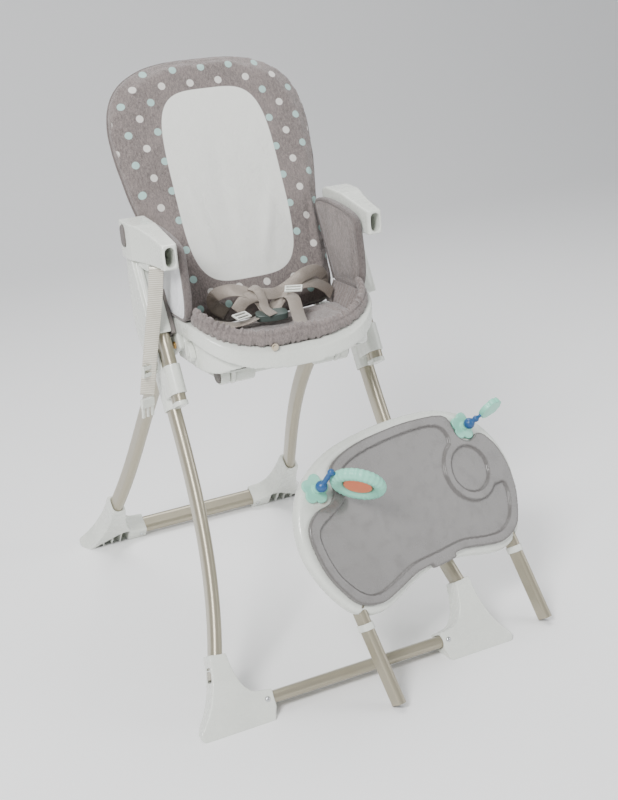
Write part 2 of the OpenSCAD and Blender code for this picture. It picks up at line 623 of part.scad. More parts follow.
// ---------- tray ----------
tl = let (a = tray_half / 247, w = tray_w0, d = tray_depth / 290) loop([
  [0, w + 28], [60 * a, w + 20], [110 * a, w + 6], [150 * a, w], [192 * a, w + 12], [222 * a, w + 50], [240 * a, w + 95 * d],
  [247 * a, w + 140 * d], [236 * a, w + 190 * d], [205 * a, w + 236 * d], [160 * a, w + 265 * d], [100 * a, w + 283 * d], [0, w + 290 * d],
  [-100 * a, w + 283 * d], [-160 * a, w + 265 * d], [-205 * a, w + 236 * d], [-236 * a, w + 190 * d], [-247 * a, w + 140 * d],
  [-240 * a, w + 95 * d], [-222 * a, w + 50], [-192 * a, w + 12], [-150 * a, w], [-110 * a, w + 6], [-60 * a, w + 20]], 3);
// the origin is under the middle of the whole outline
tray_ex = [cos(tray_yaw), sin(tray_yaw), 0];
tray_en = [sin(tray_yaw) * cos(tray_tilt), -cos(tray_yaw) * cos(tray_tilt), sin(tray_tilt)];
tray_ew = cross(tray_en, tray_ex);
tray_levels = [[12 - tray_t, 22], [16 - tray_t, 10], [24 - tray_t, 2], [0, 0], [7, 1], [11, 4], [12, 8]];
function tray_x(q, n) = tray_c[0] + q[0] * tray_ex[0] + q[1] * tray_ew[0] + n * tray_en[0];
x_low = -front_width / 2 - 1.5;
x_high = max([for (v = tray_levels, q = inset(tl, v[1])) tray_x(q, v[0])]);
y_low = tray_c[1] - tray_tube_x * tray_ex[1] + (tray_tube_n + (plug_b - plug_a) / 2) * tray_en[1]
  - plug_a / 2 * norm([tray_ex[1], tray_en[1]]);
y_high = r_y0 + foot_t / 2 / cos(r_lam);
shift = [(x_low + x_high) / 2, (y_low + y_high) / 2];
module tray_base() {
  color(WHITE) place() tray_frame() difference() {
    loft(tl, tray_levels);
    for (s = [-1, 1]) translate([s * tray_tube_x, tray_w0 - 20, tray_tube_n]) rotate([-90, 0, 0])
      slab(plug_a + 0.6, plug_b + 0.6, 110);
  }
}
module tray_tubes() {
  color(METAL) place() tray_frame() for (s = [-1, 1]) translate([s * tray_tube_x, 0, tray_tube_n]) rotate([-90, 0, 0])
    difference() { slab(plug_a, plug_b, 232); slab(plug_a - 2 * gauge, plug_b - 2 * gauge, 234, -1); }
}
module tray_collars() {
  color(WHITE) place() tray_frame() for (s = [-1, 1]) translate([s * tray_tube_x, tray_w0 - 16, tray_tube_n]) rotate([-90, 0, 0])
    difference() { slab(plug_a + 6, plug_b + 3, 12); slab(plug_a + 0.4, plug_b + 0.4, 14, -1); }
}
clip_r0 = 24;              // petal clip radius
clip_room = clip_r0 * 1.08 + 1.2;
clip_l = [-182, 370];
clip_r = [172, 372];
ins = let (a = tray_half / 247, w = tray_w0, d = tray_depth / 290) loop([
  [-20, w + 26], [30, w + 26], [34, w + 33], [60 * a, w + 32], [110 * a, w + 20], [150 * a, w + 14], [190 * a, w + 27], [212 * a, w + 56], [228 * a, w + 95 * d],
  [232 * a, w + 138 * d], [224 * a, w + 176 * d], [204 * a, w + 204 * d], [186 * a, w + 208 * d], [168 * a, w + 202 * d], [152 * a, w + 218 * d], [146 * a, w + 240 * d], [130 * a, w + 262 * d],
  [60 * a, w + 273 * d], [0, w + 275 * d], [-70 * a, w + 272 * d], [-128 * a, w + 258 * d], [-148 * a, w + 236 * d], [-150 * a, w + 212 * d], [-168 * a, w + 196 * d], [-200 * a, w + 192 * d],
  [-226 * a, w + 172 * d], [-232 * a, w + 138 * d], [-228 * a, w + 95 * d], [-212 * a, w + 56], [-190 * a, w + 27], [-150 * a, w + 14], [-110 * a, w + 20], [-60 * a, w + 32], [-24, w + 33]], 3);
cup = [144, 298];
field = let (a = tray_half / 247, w = tray_w0, d = tray_depth / 290) loop([
  [0, w + 48], [60 * a, w + 48], [110 * a, w + 36], [150 * a, w + 32], [182 * a, w + 46], [202 * a, w + 76], [206 * a, w + 108 * d],
  [180 * a, w + 112 * d], [120 * a, w + 130 * d], [112 * a, w + 180 * d], [126 * a, w + 222 * d], [108 * a, w + 248 * d], [50 * a, w + 257 * d],
  [-50 * a, w + 256 * d], [-112 * a, w + 244 * d], [-130 * a, w + 222 * d], [-136 * a, w + 196 * d], [-172 * a, w + 178 * d],
  [-208 * a, w + 162 * d], [-214 * a, w + 130 * d], [-208 * a, w + 90 * d], [-194 * a, w + 62], [-176 * a, w + 40], [-150 * a, w + 30], [-110 * a, w + 36], [-60 * a, w + 48]], 3);
module tray_insert() {
  color(GREY) place() tray_frame() {
    difference() {
      translate([0, 0, 12.5]) linear_extrude(8) polygon(ins);
      for (c = [clip_l, clip_r]) translate([c[0], c[1], 5]) {
        cylinder(r = clip_room, h = 20);
        translate([-clip_room, 0, 0]) cube([2 * clip_room, 46, 20]);   // way for the clip as the insert slides off
      }
      translate([0, 0, 15.5]) linear_extrude(6) difference() { polygon(field); translate(cup) circle(r = cup_r + 16); }
      translate([cup[0], cup[1], 15.5]) cylinder(r = cup_r, h = 20);
    }
  }
}

// ---------- toys ----------
ring_c = [-140, 350, ring_r + 24];
ring_a = -40;              // the ring stands across the tray at this angle
ring_d = [cos(ring_a), sin(ring_a), 0];
ring_ball = ring_c - (ring_r + 6) * ring_d;
clam_c = [206, 382, 60];
clam_d = unit([34, 10, 22]);
clam_ball = clam_c - 30 * clam_d;
module rod(a, b, r) {
  v = b - a;
  translate(a) rotate([0, acos(v[2] / norm(v)), atan2(v[1], v[0])]) cylinder(r = r, h = norm(v));
}
module petals(r, n) {
  linear_extrude(5) union() {
    circle(r = r * 0.8);
    for (k = [0:n - 1]) rotate(360 * k / n) translate([r * 0.62, 0]) circle(r = r * 0.46);
  }
}
module toy_clips() {
  color(MINT) place() tray_frame() {
    for (c = [clip_l, clip_r]) translate([c[0], c[1], 12.3]) {
      petals(clip_r0, 5);
      cylinder(r = 8, h = 21.7 - ball_r - 3.2);
    }
  }
}
module toy_stems() {
  color(BLUE) place() tray_frame() {
    for (k = [[clip_l, ring_ball], [clip_r, clam_ball]]) let (c = [k[0][0], k[0][1], 34]) {
      translate(c) sphere(r = ball_r + 3);
      rod(c, k[1], 4.5);
      translate(k[1]) sphere(r = ball_r - 1);
    }
    rod(ring_ball, ring_ball + ring_d * 13, 3);
    rod(clam_ball, clam_ball + clam_d * 15, 3);
  }
}
module toy_ring() {
  color(MINT) place() tray_frame() difference() {
    translate(ring_c) rotate([0, 0, ring_a]) rotate([90, 0, 0]) rotate_extrude()
      translate([ring_r - 11, 0]) circle(r = 10.6, $fn = 32);
    rod(ring_ball, ring_ball + ring_d * 14, 3 + hinge_gap);
    rod(ring_c - [0, 0, 25], ring_c + [0, 0, 25], 2 + hinge_gap);
  }
}
module toy_ring_centre() {
  color(CORAL) place() tray_frame() {
    translate(ring_c) rotate([0, 0, ring_a]) rotate([90, 0, 0]) cylinder(r = ring_r - 23.5, h = 10, center = true);
    rod(ring_c - [0, 0, 24], ring_c + [0, 0, 24], 2);
  }
}
module toy_clam() {
  color(MINT) place() tray_frame() translate(clam_c)
    rotate([0, 0, atan2(clam_d[1], clam_d[0])]) rotate([62, -asin(clam_d[2]), 0]) difference() {
      linear_extrude(10, center = true) union() {
        circle(r = 20);
        for (k = [-2:2]) rotate(32 * k) translate([17, 0]) circle(r = 7.5);
      }
      rodx(3 + hinge_gap, -25, -14);
    }
}

front_leg_left();
front_leg_right();
front_crossbar();
front_foot_left();
front_foot_right();
front_screws();
leg_bracket_left();
leg_bracket_right();
rail_left();
rail_right();
rail_caps();
pivot_lugs();
rear_leg_left();
rear_leg_right();
rear_crossbar();
rear_foot_left();
rear_foot_right();
rear_hubs();
rear_screws();
side_housing_left();
side_housing_right();
armrest_left();
armrest_right();
slide_blocks();
seat_rivets();
seat_pan();
seat_hooks();
seat_pad();
front_flap();
flap_snap();
wing_left();
wing_right();
lap_straps();
crotch_strap();
shoulder_straps();
buckle();
adjusters();
tether_strap();
tether_lock();
tether_clip();
armrest_button_left();
armrest_button_right();
back_shell();
back_pad();
recline_lever();
footrest_frame();
footrest_panel();
footrest_button_left();
footrest_button_right();
tray_base();
tray_tubes();
tray_collars();
tray_insert();
toy_clips();
toy_stems();
toy_ring();
toy_ring_centre();
toy_clam();
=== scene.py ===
# %% [markdown]
# # A folding baby high chair
# The steel frame, carriage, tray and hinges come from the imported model, in metres, and never move.
# This notebook gives that frame its looks: rounded mouldings, painted tube, padded cloth, webbing and toys.
# Every position below is read from the frame's boxes or is a named size of the real object.

import json
import math

import bpy
import numpy as np
from mathutils import Matrix, Vector

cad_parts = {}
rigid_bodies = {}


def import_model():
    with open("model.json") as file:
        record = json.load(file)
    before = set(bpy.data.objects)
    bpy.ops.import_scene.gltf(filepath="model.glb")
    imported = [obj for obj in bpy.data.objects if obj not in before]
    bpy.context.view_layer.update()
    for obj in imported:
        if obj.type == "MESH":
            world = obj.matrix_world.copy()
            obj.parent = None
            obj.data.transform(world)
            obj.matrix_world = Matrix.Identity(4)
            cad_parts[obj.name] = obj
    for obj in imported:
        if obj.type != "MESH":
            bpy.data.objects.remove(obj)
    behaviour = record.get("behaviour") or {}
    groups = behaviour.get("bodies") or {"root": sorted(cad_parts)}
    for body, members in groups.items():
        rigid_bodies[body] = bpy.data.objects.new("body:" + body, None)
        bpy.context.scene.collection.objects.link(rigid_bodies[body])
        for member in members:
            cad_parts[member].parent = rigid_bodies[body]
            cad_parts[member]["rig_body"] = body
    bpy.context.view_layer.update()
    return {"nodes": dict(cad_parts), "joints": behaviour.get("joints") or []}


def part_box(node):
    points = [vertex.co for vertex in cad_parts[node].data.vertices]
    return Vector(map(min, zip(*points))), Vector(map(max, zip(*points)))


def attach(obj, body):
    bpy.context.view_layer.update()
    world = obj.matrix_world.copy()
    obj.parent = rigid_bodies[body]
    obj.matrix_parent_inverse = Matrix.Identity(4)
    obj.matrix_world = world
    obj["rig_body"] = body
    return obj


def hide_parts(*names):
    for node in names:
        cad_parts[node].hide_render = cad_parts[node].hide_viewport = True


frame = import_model()
nodes = frame["nodes"]
joints = {j["name"]: j for j in frame["joints"]}
MM = 0.001

# the chair's own middle plane, and the axis line that its parts are measured from
rail_l, rail_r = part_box("rail_left"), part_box("rail_right")
MID_X = (rail_l[0].x + rail_r[1].x) / 2
RECLINE_Y = joints["recline"]["pos_m"][1]
ORIGIN = np.array([MID_X, RECLINE_Y + 67 * MM, 0.0])


# %% [markdown]
# ## Camera, floor and light
# The camera stands high at the chair's front left and leans a little, like a hand-held shot.
# It is turned in three plain steps: to the side, down, and rolled about its own axis.

# %% Camera
CAMERA_PLACE = ORIGIN + np.array([-0.75547, -2.00242, 1.12169])
CAMERA_SIDE, CAMERA_DOWN, CAMERA_ROLL = 23.73, 19.11, -4.82
CAMERA_LENS = 54.71

camera_data = bpy.data.cameras.new("camera")
camera_data.lens = CAMERA_LENS
camera_data.sensor_width = 36
camera = bpy.data.objects.new("camera", camera_data)
bpy.context.scene.collection.objects.link(camera)
turn = (Matrix.Rotation(math.radians(-CAMERA_SIDE), 4, "Z")
        @ Matrix.Rotation(math.radians(90 - CAMERA_DOWN), 4, "X")
        @ Matrix.Rotation(math.radians(CAMERA_ROLL), 4, "Z"))
camera.matrix_world = Matrix.Translation(Vector(CAMERA_PLACE)) @ turn
bpy.context.scene.camera = camera


# %% [markdown]
# ## Surfaces from numpy
# Most new pieces are grids: a function of two parameters gives every point at once.
# `grid_piece` turns such an array into a mesh, closing it round either way and capping its ends.
# `sweep` carries a profile along a path, which makes tube, webbing, piping and folds alike.

# %% Mesh helpers
def piece(name, points, faces, body, material=None, uv=None):
    """A mesh object from arrays of points and quads, riding on a body, shaded smooth."""
    mesh = bpy.data.meshes.new(name)
    mesh.from_pydata([tuple(p) for p in np.asarray(points).tolist()], [], [tuple(f) for f in faces])
    if uv is not None:
        layer = mesh.uv_layers.new(name="along")
        index = np.zeros(len(mesh.loops), np.int32)
        mesh.loops.foreach_get("vertex_index", index)
        layer.data.foreach_set("uv", np.asarray(uv, np.float32)[index].ravel())
    mesh.polygons.foreach_set("use_smooth", np.ones(len(mesh.polygons), bool))
    mesh.update()
    obj = bpy.data.objects.new(name, mesh)
    bpy.context.scene.collection.objects.link(obj)
    if material is not None:
        mesh.materials.append(material)
    if body is not None:
        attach(obj, body)
    return obj


def grid_faces(rows, columns, wrap_rows=False, wrap_columns=True):
    """Quads of a rows by columns grid: each joins a point to its next row and next column."""
    r = np.arange(rows if wrap_rows else rows - 1)
    c = np.arange(columns if wrap_columns else columns - 1)
    i, j = np.meshgrid(r, c, indexing="ij")
    k, m = (i + 1) % rows, (j + 1) % columns
    return np.stack([i * columns + j, k * columns + j, k * columns + m, i * columns + m], -1).reshape(-1, 4)


def grid_piece(name, grid, body, material, wrap_rows=False, cap=True, flip=False, uv=None):
    """A closed skin from an array (rows, columns, 3) whose columns run round it."""
    rows, columns = grid.shape[:2]
    faces = grid_faces(rows, columns, wrap_rows).tolist()
    if cap and not wrap_rows:
        faces.append(list(range(columns)))
        faces.append([(rows - 1) * columns + c for c in range(columns - 1, -1, -1)])
    if flip:
        faces = [f[::-1] for f in faces]
    return piece(name, grid.reshape(-1, 3), faces, body, material, uv)


def smooth_path(points, steps, closed=False):
    """Catmull-Rom curve: each span is the cubic whose end slopes are half the step between neighbours."""
    p = np.asarray(points, float)
    if closed:
        p = np.concatenate([p[-1:], p, p[:2]])
    else:
        p = np.concatenate([2 * p[:1] - p[1:2], p, 2 * p[-1:] - p[-2:-1]])
    t = (np.arange(steps) / steps)[None, :, None]
    a, b, c, d = (p[i:len(p) - 3 + i][:, None] for i in range(4))
    curve = 0.5 * (2 * b + (c - a) * t + (2 * a - 5 * b + 4 * c - d) * t**2 + (3 * b - a - 3 * c + d) * t**3)
    curve = curve.reshape(-1, p.shape[1])
    return curve if closed else np.concatenate([curve, p[-2:-1]])


def unit(v):
    """Vectors divided by their own length."""
    return v / np.maximum(np.linalg.norm(v, axis=-1, keepdims=True), 1e-12)


def sweep(path, profile, up, closed=False):
    """Grid of a profile carried along a path: point + side * profile x + top * profile y.
    side is up crossed with the path's direction, and top completes the right angle."""
    path = np.asarray(path, float)
    if closed:
        way = unit(np.roll(path, -1, 0) - np.roll(path, 1, 0))
    else:
        way = unit(np.gradient(path, axis=0))
    up = np.broadcast_to(np.asarray(up, float), path.shape)
    side = unit(np.cross(up, way))
    top = np.cross(way, side)
    profile = np.asarray(profile, float)
    if profile.ndim == 2:
        profile = np.broadcast_to(profile, (len(path),) + profile.shape)
    return path[:, None] + side[:, None] * profile[..., :1] + top[:, None] * profile[..., 1:2]


def flat_oval(across, along, count=12):
    """Outline of a straight-sided oval: two half circles of diameter across, along apart end to end."""
    a = np.linspace(0, math.pi, count)
    half = (along - across) / 2
    upper = np.stack([across / 2 * np.cos(a), half + across / 2 * np.sin(a)], -1)
    return np.concatenate([upper, -upper])


def round_profile(radius, count=12):
    """A circle, counter-clockwise."""
    a = np.arange(count) * 2 * math.pi / count
    return radius * np.stack([np.cos(a), np.sin(a)], -1)


def tape_profile(width, thick, count=4):
    """Outline of a strip with rounded edges, width across x and thick across y."""
    a = np.linspace(-math.pi / 2, math.pi / 2, count)
    right = np.stack([width / 2 - thick / 2 + thick / 2 * np.cos(a), thick / 2 * np.sin(a)], -1)
    return np.concatenate([right, -right])


# %% Copying a CAD node and softening its edges
def evaluated(obj):
    """Replaces obj's mesh by what its modifiers make, and removes the modifiers."""
    graph = bpy.context.evaluated_depsgraph_get()
    mesh = bpy.data.meshes.new_from_object(obj.evaluated_get(graph))
    obj.modifiers.clear()
    obj.data = mesh
    mesh.polygons.foreach_set("use_smooth", np.ones(len(mesh.polygons), bool))
    return obj


def points_of(obj):
    """The mesh's points as an array."""
    co = np.zeros(len(obj.data.vertices) * 3)
    obj.data.vertices.foreach_get("co", co)
    return co.reshape(-1, 3)


def set_points(obj, co):
    """Writes an array back as the mesh's points."""
    obj.data.vertices.foreach_set("co", np.asarray(co).ravel())
    obj.data.update()


def remeshed(name, sources, voxel):
    """One even quad skin over copies of the named CAD nodes."""
    corners, faces, start = [], [], 0
    for s in sources:
        m = nodes[s].data
        corners.append(points_of(nodes[s]))
        faces += [[v + start for v in p.vertices] for p in m.polygons]
        start += len(m.vertices)
    obj = piece(name, np.concatenate(corners), faces, None)
    weld = obj.modifiers.new("weld", "WELD")
    weld.merge_threshold = 0.00002
    evaluated(obj)
    mod = obj.modifiers.new("skin", "REMESH")
    mod.mode = "VOXEL"
    mod.voxel_size = voxel
    return evaluated(obj)


def moulded(sources, voxel, rounds, material, name=None):
    """A moulding: the CAD shape in an even skin whose corners are rounded by smoothing passes."""
    sources = [sources] if isinstance(sources, str) else sources
    name = name or sources[0] + "_moulding"
    obj = remeshed(name, sources, voxel * MM)
    soft = obj.modifiers.new("round", "SMOOTH")
    soft.factor = 0.5
    soft.iterations = rounds
    evaluated(obj)
    obj.data.materials.clear()
    obj.data.materials.append(material)
    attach(obj, nodes[sources[0]]["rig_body"])
    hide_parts(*sources)
    return obj


# %% [markdown]
# ## Materials
# Every finish is built from nodes on Object coordinates, so its grain has a true size in metres.
# Small helpers keep the node code short: `wire` adds a node, sets its values and links its inputs.

# %% Material helpers
def tone(code):
    """A screen colour written as six hex digits, as linear light."""
    c = np.array([int(code[i:i + 2], 16) / 255 for i in (0, 2, 4)])
    lin = np.where(c <= 0.04045, c / 12.92, ((c + 0.055) / 1.055) ** 2.4)
    return (*lin.tolist(), 1.0)


class Finish:
    """A material being built: .wire() adds a node, .shader is its Principled BSDF."""

    def __init__(self, name, colour, rough, metal=0.0, **values):
        self.material = bpy.data.materials.new(name)
        self.material.use_nodes = True
        self.material.diffuse_color = colour
        self.tree = self.material.node_tree
        self.shader = self.tree.nodes["Principled BSDF"]
        self.put(self.shader, {"Base Color": colour, "Roughness": rough, "Metallic": metal, **values})
        self.place = self.wire("ShaderNodeTexCoord").outputs["Object"]

    def put(self, node, inputs):
        for key, value in inputs.items():
            socket = node.inputs[key]
            if isinstance(value, bpy.types.NodeSocket):
                self.tree.links.new(value, socket)
            else:
                socket.default_value = value

    def wire(self, kind, inputs=None, **settings):
        node = self.tree.nodes.new(kind)
        for key, value in settings.items():
            setattr(node, key, value)
        self.put(node, inputs or {})
        return node

    def math(self, operation, a, b=0.0, c=0.0, clamp=False):
        node = self.wire("ShaderNodeMath", {0: a, 1: b, 2: c}, operation=operation, use_clamp=clamp)
        return node.outputs[0]

    def noise(self, scale, detail=3.0, rough=0.5, vector=None):
        inputs = {"Scale": scale, "Detail": detail, "Roughness": rough, "Vector": vector or self.place}
        return self.wire("ShaderNodeTexNoise", inputs).outputs["Fac"]

    def span(self, value, low, high, start=0.0, end=1.0):
        """value mapped from low..high to start..end, clamped."""
        inputs = {"Value": value, "From Min": low, "From Max": high, "To Min": start, "To Max": end}
        return self.wire("ShaderNodeMapRange", inputs).outputs["Result"]

    def mix(self, share, a, b, blend="MIX"):
        node = self.wire("ShaderNodeMix", data_type="RGBA", blend_type=blend)
        self.put(node, {0: share, 6: a, 7: b})
        return node.outputs[2]

    def bump(self, height, distance, strength=1.0, normal=None):
        inputs = {"Height": height, "Distance": distance, "Strength": strength}
        if normal is not None:
            inputs["Normal"] = normal
        return self.wire("ShaderNodeBump", inputs).outputs["Normal"]

    def paint(self, **inputs):
        self.put(self.shader, {k.replace("_", " "): v for k, v in inputs.items()})
        return self.material


def scuffed_plastic(name, code, rough, grain=900.0, wear=0.05, coat=0.0):
    """Moulded plastic: a fine spark-eroded grain, faint cloudy tone and a few rubbed, duller patches."""
    base = tone(code)
    f = Finish(name, base, rough, **{"Coat Weight": coat, "IOR": 1.5})
    patchy = f.noise(9.0, 4.0, 0.6)
    darker = tuple(c * (1 - wear * 2.2) for c in base[:3]) + (1.0,)
    tinted = f.mix(f.span(patchy, 0.35, 0.75), base, darker)
    rubbed = f.span(f.noise(45.0, 6.0, 0.7), 0.48, 0.72)
    gloss = f.span(rubbed, 0.0, 1.0, rough, min(rough + 0.16, 1.0))
    grainy = f.bump(f.noise(grain, 2.0), 0.00006, 0.5)
    return f.paint(Base_Color=tinted, Roughness=gloss, Normal=grainy)


def painted_tube(name, code):
    """Satin champagne paint on steel: metallic flake, orange-peel ripple and small dull marks."""
    base = tone(code)
    f = Finish(name, base, 0.34, metal=0.55, **{"Coat Weight": 0.25, "Coat Roughness": 0.2})
    flake = f.span(f.noise(2600.0, 1.0), 0.3, 0.7)
    light = tuple(min(c * 1.16, 1.0) for c in base[:3]) + (1.0,)
    dark = tuple(c * 0.88 for c in base[:3]) + (1.0,)
    tinted = f.mix(flake, dark, light)
    marks = f.span(f.noise(30.0, 7.0, 0.75), 0.55, 0.8, 0.30, 0.52)
    ripple = f.bump(f.noise(240.0, 2.0), 0.0001, 0.35)
    return f.paint(Base_Color=tinted, Roughness=marks, Normal=ripple)


def bare_metal(name, code, rough):
    """Plated steel or brass: fine turning lines in the gloss."""
    f = Finish(name, tone(code), rough, metal=1.0)
    lines = f.noise(1500.0, 2.0)
    gloss = f.span(lines, 0.3, 0.7, rough * 0.7, rough * 1.4)
    return f.paint(Roughness=gloss, Normal=f.bump(lines, 0.00003, 0.4))


# %% Hard finishes
WHITE = scuffed_plastic("white_plastic", "DDE0D8", 0.25, wear=0.05, coat=0.35)
GREY_CAP = scuffed_plastic("grey_caps", "6E6865", 0.5)
INSERT_GREY = scuffed_plastic("insert_grey", "6C6967", 0.25, grain=1300.0, wear=0.06, coat=0.25)
BUCKLE_GREEN = scuffed_plastic("buckle_plastic", "485450", 0.35)
MINT = scuffed_plastic("mint_plastic", "8AD3BB", 0.34, wear=0.04, coat=0.1)
BLUE = scuffed_plastic("blue_plastic", "245488", 0.34)
CORAL = scuffed_plastic("coral_plastic", "E8825F", 0.36)
PAINT = painted_tube("champagne_paint", "9F9885")
STEEL = bare_metal("plated_steel", "C9CBCC", 0.22)
BRASS = bare_metal("worn_brass", "D2A763", 0.28)
NICKEL = bare_metal("warm_nickel", "CFC2AC", 0.2)


# %% [markdown]
# ## The cloth
# The cover is a warm grey heather: two tones of yarn twisted together, so the colour flecks at
# about a millimetre while the weave shows as a fine grid. A nap gives it sheen at the edges.
# The back carries a plain pale panel, with evenly spaced round dots on the grey around it. Both are
# formulas in the pad's own plane, so their outlines stay sharp at any distance.

# %% Heather cloth
HEATHER_LIGHT, HEATHER_DARK = tone("958A86"), tone("4C4543")
PANEL_WHITE, PANEL_SPECK = tone("EDEEE8"), tone("D9D9D3")
DOT_GREY, DOT_MINT = tone("DDDAD4"), tone("A9C9C4")
WEAVE_PITCH = 1.1 * MM


def cloth_weave(f, vector, pitch=WEAVE_PITCH):
    """Height of a plain weave: warp and weft bands whose crossings alternate, plus fuzz."""
    scale = 2 * math.pi / 20 / pitch
    bands = [f.wire("ShaderNodeTexWave", {"Vector": vector, "Scale": scale, "Distortion": 1.2, "Detail": 1.0},
                    bands_direction=way).outputs["Fac"] for way in ("X", "Z")]
    return f.math("ADD", f.math("MULTIPLY", bands[0], bands[1]), f.math("MULTIPLY", f.noise(1400.0), 0.7))


def heather(name, light=HEATHER_LIGHT, dark=HEATHER_DARK, tilt=0.0, paint_over=None, pitch=WEAVE_PITCH):
    """Heather cloth; paint_over(f, colour, vector) may lay a print over its colour."""
    f = Finish(name, light, 0.88, **{"Sheen Weight": 0.35, "Sheen Roughness": 0.45})
    turned = f.wire("ShaderNodeMapping", {"Vector": f.place}, vector_type="POINT")
    turned.inputs["Rotation"].default_value = (math.radians(tilt), 0, 0)
    plane = turned.outputs[0]
    stretched = f.wire("ShaderNodeMapping", {"Vector": plane, "Scale": (1.0, 1.0, 0.45)}).outputs[0]
    fleck = f.span(f.noise(900.0, 3.0, 0.65, stretched), 0.32, 0.68)
    slub = f.span(f.noise(330.0, 3.0, 0.7, stretched), 0.34, 0.66)
    colour = f.mix(f.math("ADD", f.math("MULTIPLY", fleck, 0.5), f.math("MULTIPLY", slub, 0.5)), dark, light)
    faded = tuple(min(c * 1.10, 1.0) for c in light[:3]) + (1.0,)
    colour = f.mix(f.span(f.noise(14.0, 4.0), 0.45, 0.85, 0.0, 0.55), colour, faded)
    if paint_over is not None:
        colour = paint_over(f, colour, plane)
    weave = cloth_weave(f, plane, pitch)
    rumpled = f.bump(f.noise(22.0, 4.0, 0.6), 0.006, 0.5, f.bump(f.noise(75.0, 3.0), 0.0016, 0.5))
    normal = f.bump(weave, 0.0005, 0.8, f.bump(slub, 0.0004, 0.5, rumpled))
    return f.paint(Base_Color=colour, Normal=normal)


# %% The pale panel and the dots
PAD_LEAN = 22.5
PAD_FOOT = ORIGIN + np.array([0, -99.0, 581.5]) * MM
PAD_UP = np.array([0, math.sin(math.radians(PAD_LEAN)), math.cos(math.radians(PAD_LEAN))])
PAD_OUT = np.array([0, -PAD_UP[2], PAD_UP[1]])
PANEL_MIDDLE, PANEL_HALF_WIDTH, PANEL_HALF_HEIGHT, PANEL_CORNER = 0.231, 0.100, 0.170, 4.0
DOT_PITCH, DOT_RADIUS = 0.052, 0.0065


def panel_print(f, cloth, plane):
    """Pale superellipse panel in the pad's middle, and two staggered square grids of round dots."""
    parts = f.wire("ShaderNodeSeparateXYZ", {"Vector": plane})
    foot = Matrix.Rotation(math.radians(PAD_LEAN), 3, "X") @ Vector(PAD_FOOT)
    across = f.math("SUBTRACT", parts.outputs["X"], float(foot.x))
    height = f.math("SUBTRACT", f.math("SUBTRACT", parts.outputs["Z"], float(foot.z)), PANEL_MIDDLE)
    front = f.span(parts.outputs["Y"], float(foot.y) + 0.004, float(foot.y) + 0.007, 1.0, 0.0)

    def inside(u, v, half_u, half_v, power, edge):
        """1 where |u/half_u|^power + |v/half_v|^power is below one, 0 outside."""
        sides = [f.math("POWER", f.math("ABSOLUTE", f.math("DIVIDE", value, half)), power)
                 for value, half in ((u, half_u), (v, half_v))]
        return f.span(f.math("ADD", *sides), 1.0 - edge, 1.0 + edge, 1.0, 0.0)

    def repeated(value, shift):
        """Distance from the nearest line of a row of lines DOT_PITCH apart."""
        turned = f.math("FLOORED_MODULO", f.math("ADD", value, shift), DOT_PITCH)
        return f.math("SUBTRACT", turned, DOT_PITCH / 2)

    panel = inside(across, height, PANEL_HALF_WIDTH, PANEL_HALF_HEIGHT, PANEL_CORNER, 0.012)
    speck = f.span(f.noise(700.0, 2.0), 0.55, 0.75, 0.0, 0.22)
    colour = cloth
    around = f.math("MULTIPLY", f.math("SUBTRACT", 1.0, panel), front)
    for shift, paint in ((0.0, DOT_GREY), (DOT_PITCH / 2, DOT_MINT)):
        dots = inside(repeated(across, shift), repeated(height, shift), DOT_RADIUS, DOT_RADIUS, 2.0, 0.1)
        colour = f.mix(f.math("MULTIPLY", dots, around), colour, paint)
    return f.mix(f.math("MULTIPLY", panel, front), colour, f.mix(speck, PANEL_WHITE, PANEL_SPECK))


def lining_side(outer_x, sign):
    """A print function: white lining on the side of a wing that faces away from the seat."""
    def over(f, cloth, plane):
        x = f.wire("ShaderNodeSeparateXYZ", {"Vector": plane}).outputs["X"]
        low, high = sorted((outer_x - 0.0006, outer_x + 0.0006))
        share = f.span(x, low, high, 0.0 if sign > 0 else 1.0, 1.0 if sign > 0 else 0.0)
        return f.mix(share, cloth, tone("E6E6EA"))
    return over


PANEL_CLOTH = heather("panel_cloth", tilt=PAD_LEAN, paint_over=panel_print)
HEATHER = heather("heather_cloth")
PIPING = heather("piping_cloth", tone("7C726F"), tone("4A4341"), pitch=0.8 * MM)
THREAD = heather("thread", tone("655D5B"), tone("4A4442"), pitch=0.3 * MM)


def webbing(name, light, dark, ribs, sheen=0.2):
    """Woven tape. Its pattern follows the piece's own map: across the tape, then along it in metres."""
    f = Finish(name, light, 0.33, metal=0.25,
               **{"Sheen Weight": sheen, "Sheen Roughness": 0.4, "Anisotropic": 0.6})
    run = f.wire("ShaderNodeUVMap", uv_map="along").outputs["UV"]
    scale = 2 * math.pi / 20
    along = f.wire("ShaderNodeTexWave", {"Vector": run, "Scale": scale / ribs, "Distortion": 0.6},
                   bands_direction="Y").outputs["Fac"]
    across = f.wire("ShaderNodeTexWave", {"Vector": run, "Scale": scale / (1.4 * MM), "Distortion": 0.4},
                    bands_direction="X").outputs["Fac"]
    both = f.math("ADD", f.math("MULTIPLY", along, 0.7), f.math("MULTIPLY", across, 0.3))
    soiled = f.span(f.noise(38.0, 4.0), 0.5, 0.8, 0.0, 0.45)
    colour = f.mix(soiled, f.mix(f.span(both, 0.1, 0.9), dark, light), dark)
    return f.paint(Base_Color=colour, Normal=f.bump(both, 0.0003, 0.8))


SATIN_WEB = webbing("harness_webbing", tone("B0A59A"), tone("6A6157"), 0.9 * MM, 0.3)
IVORY_WEB = webbing("tether_webbing", tone("E6E3D8"), tone("A8A08E"), 3.2 * MM, 0.1)


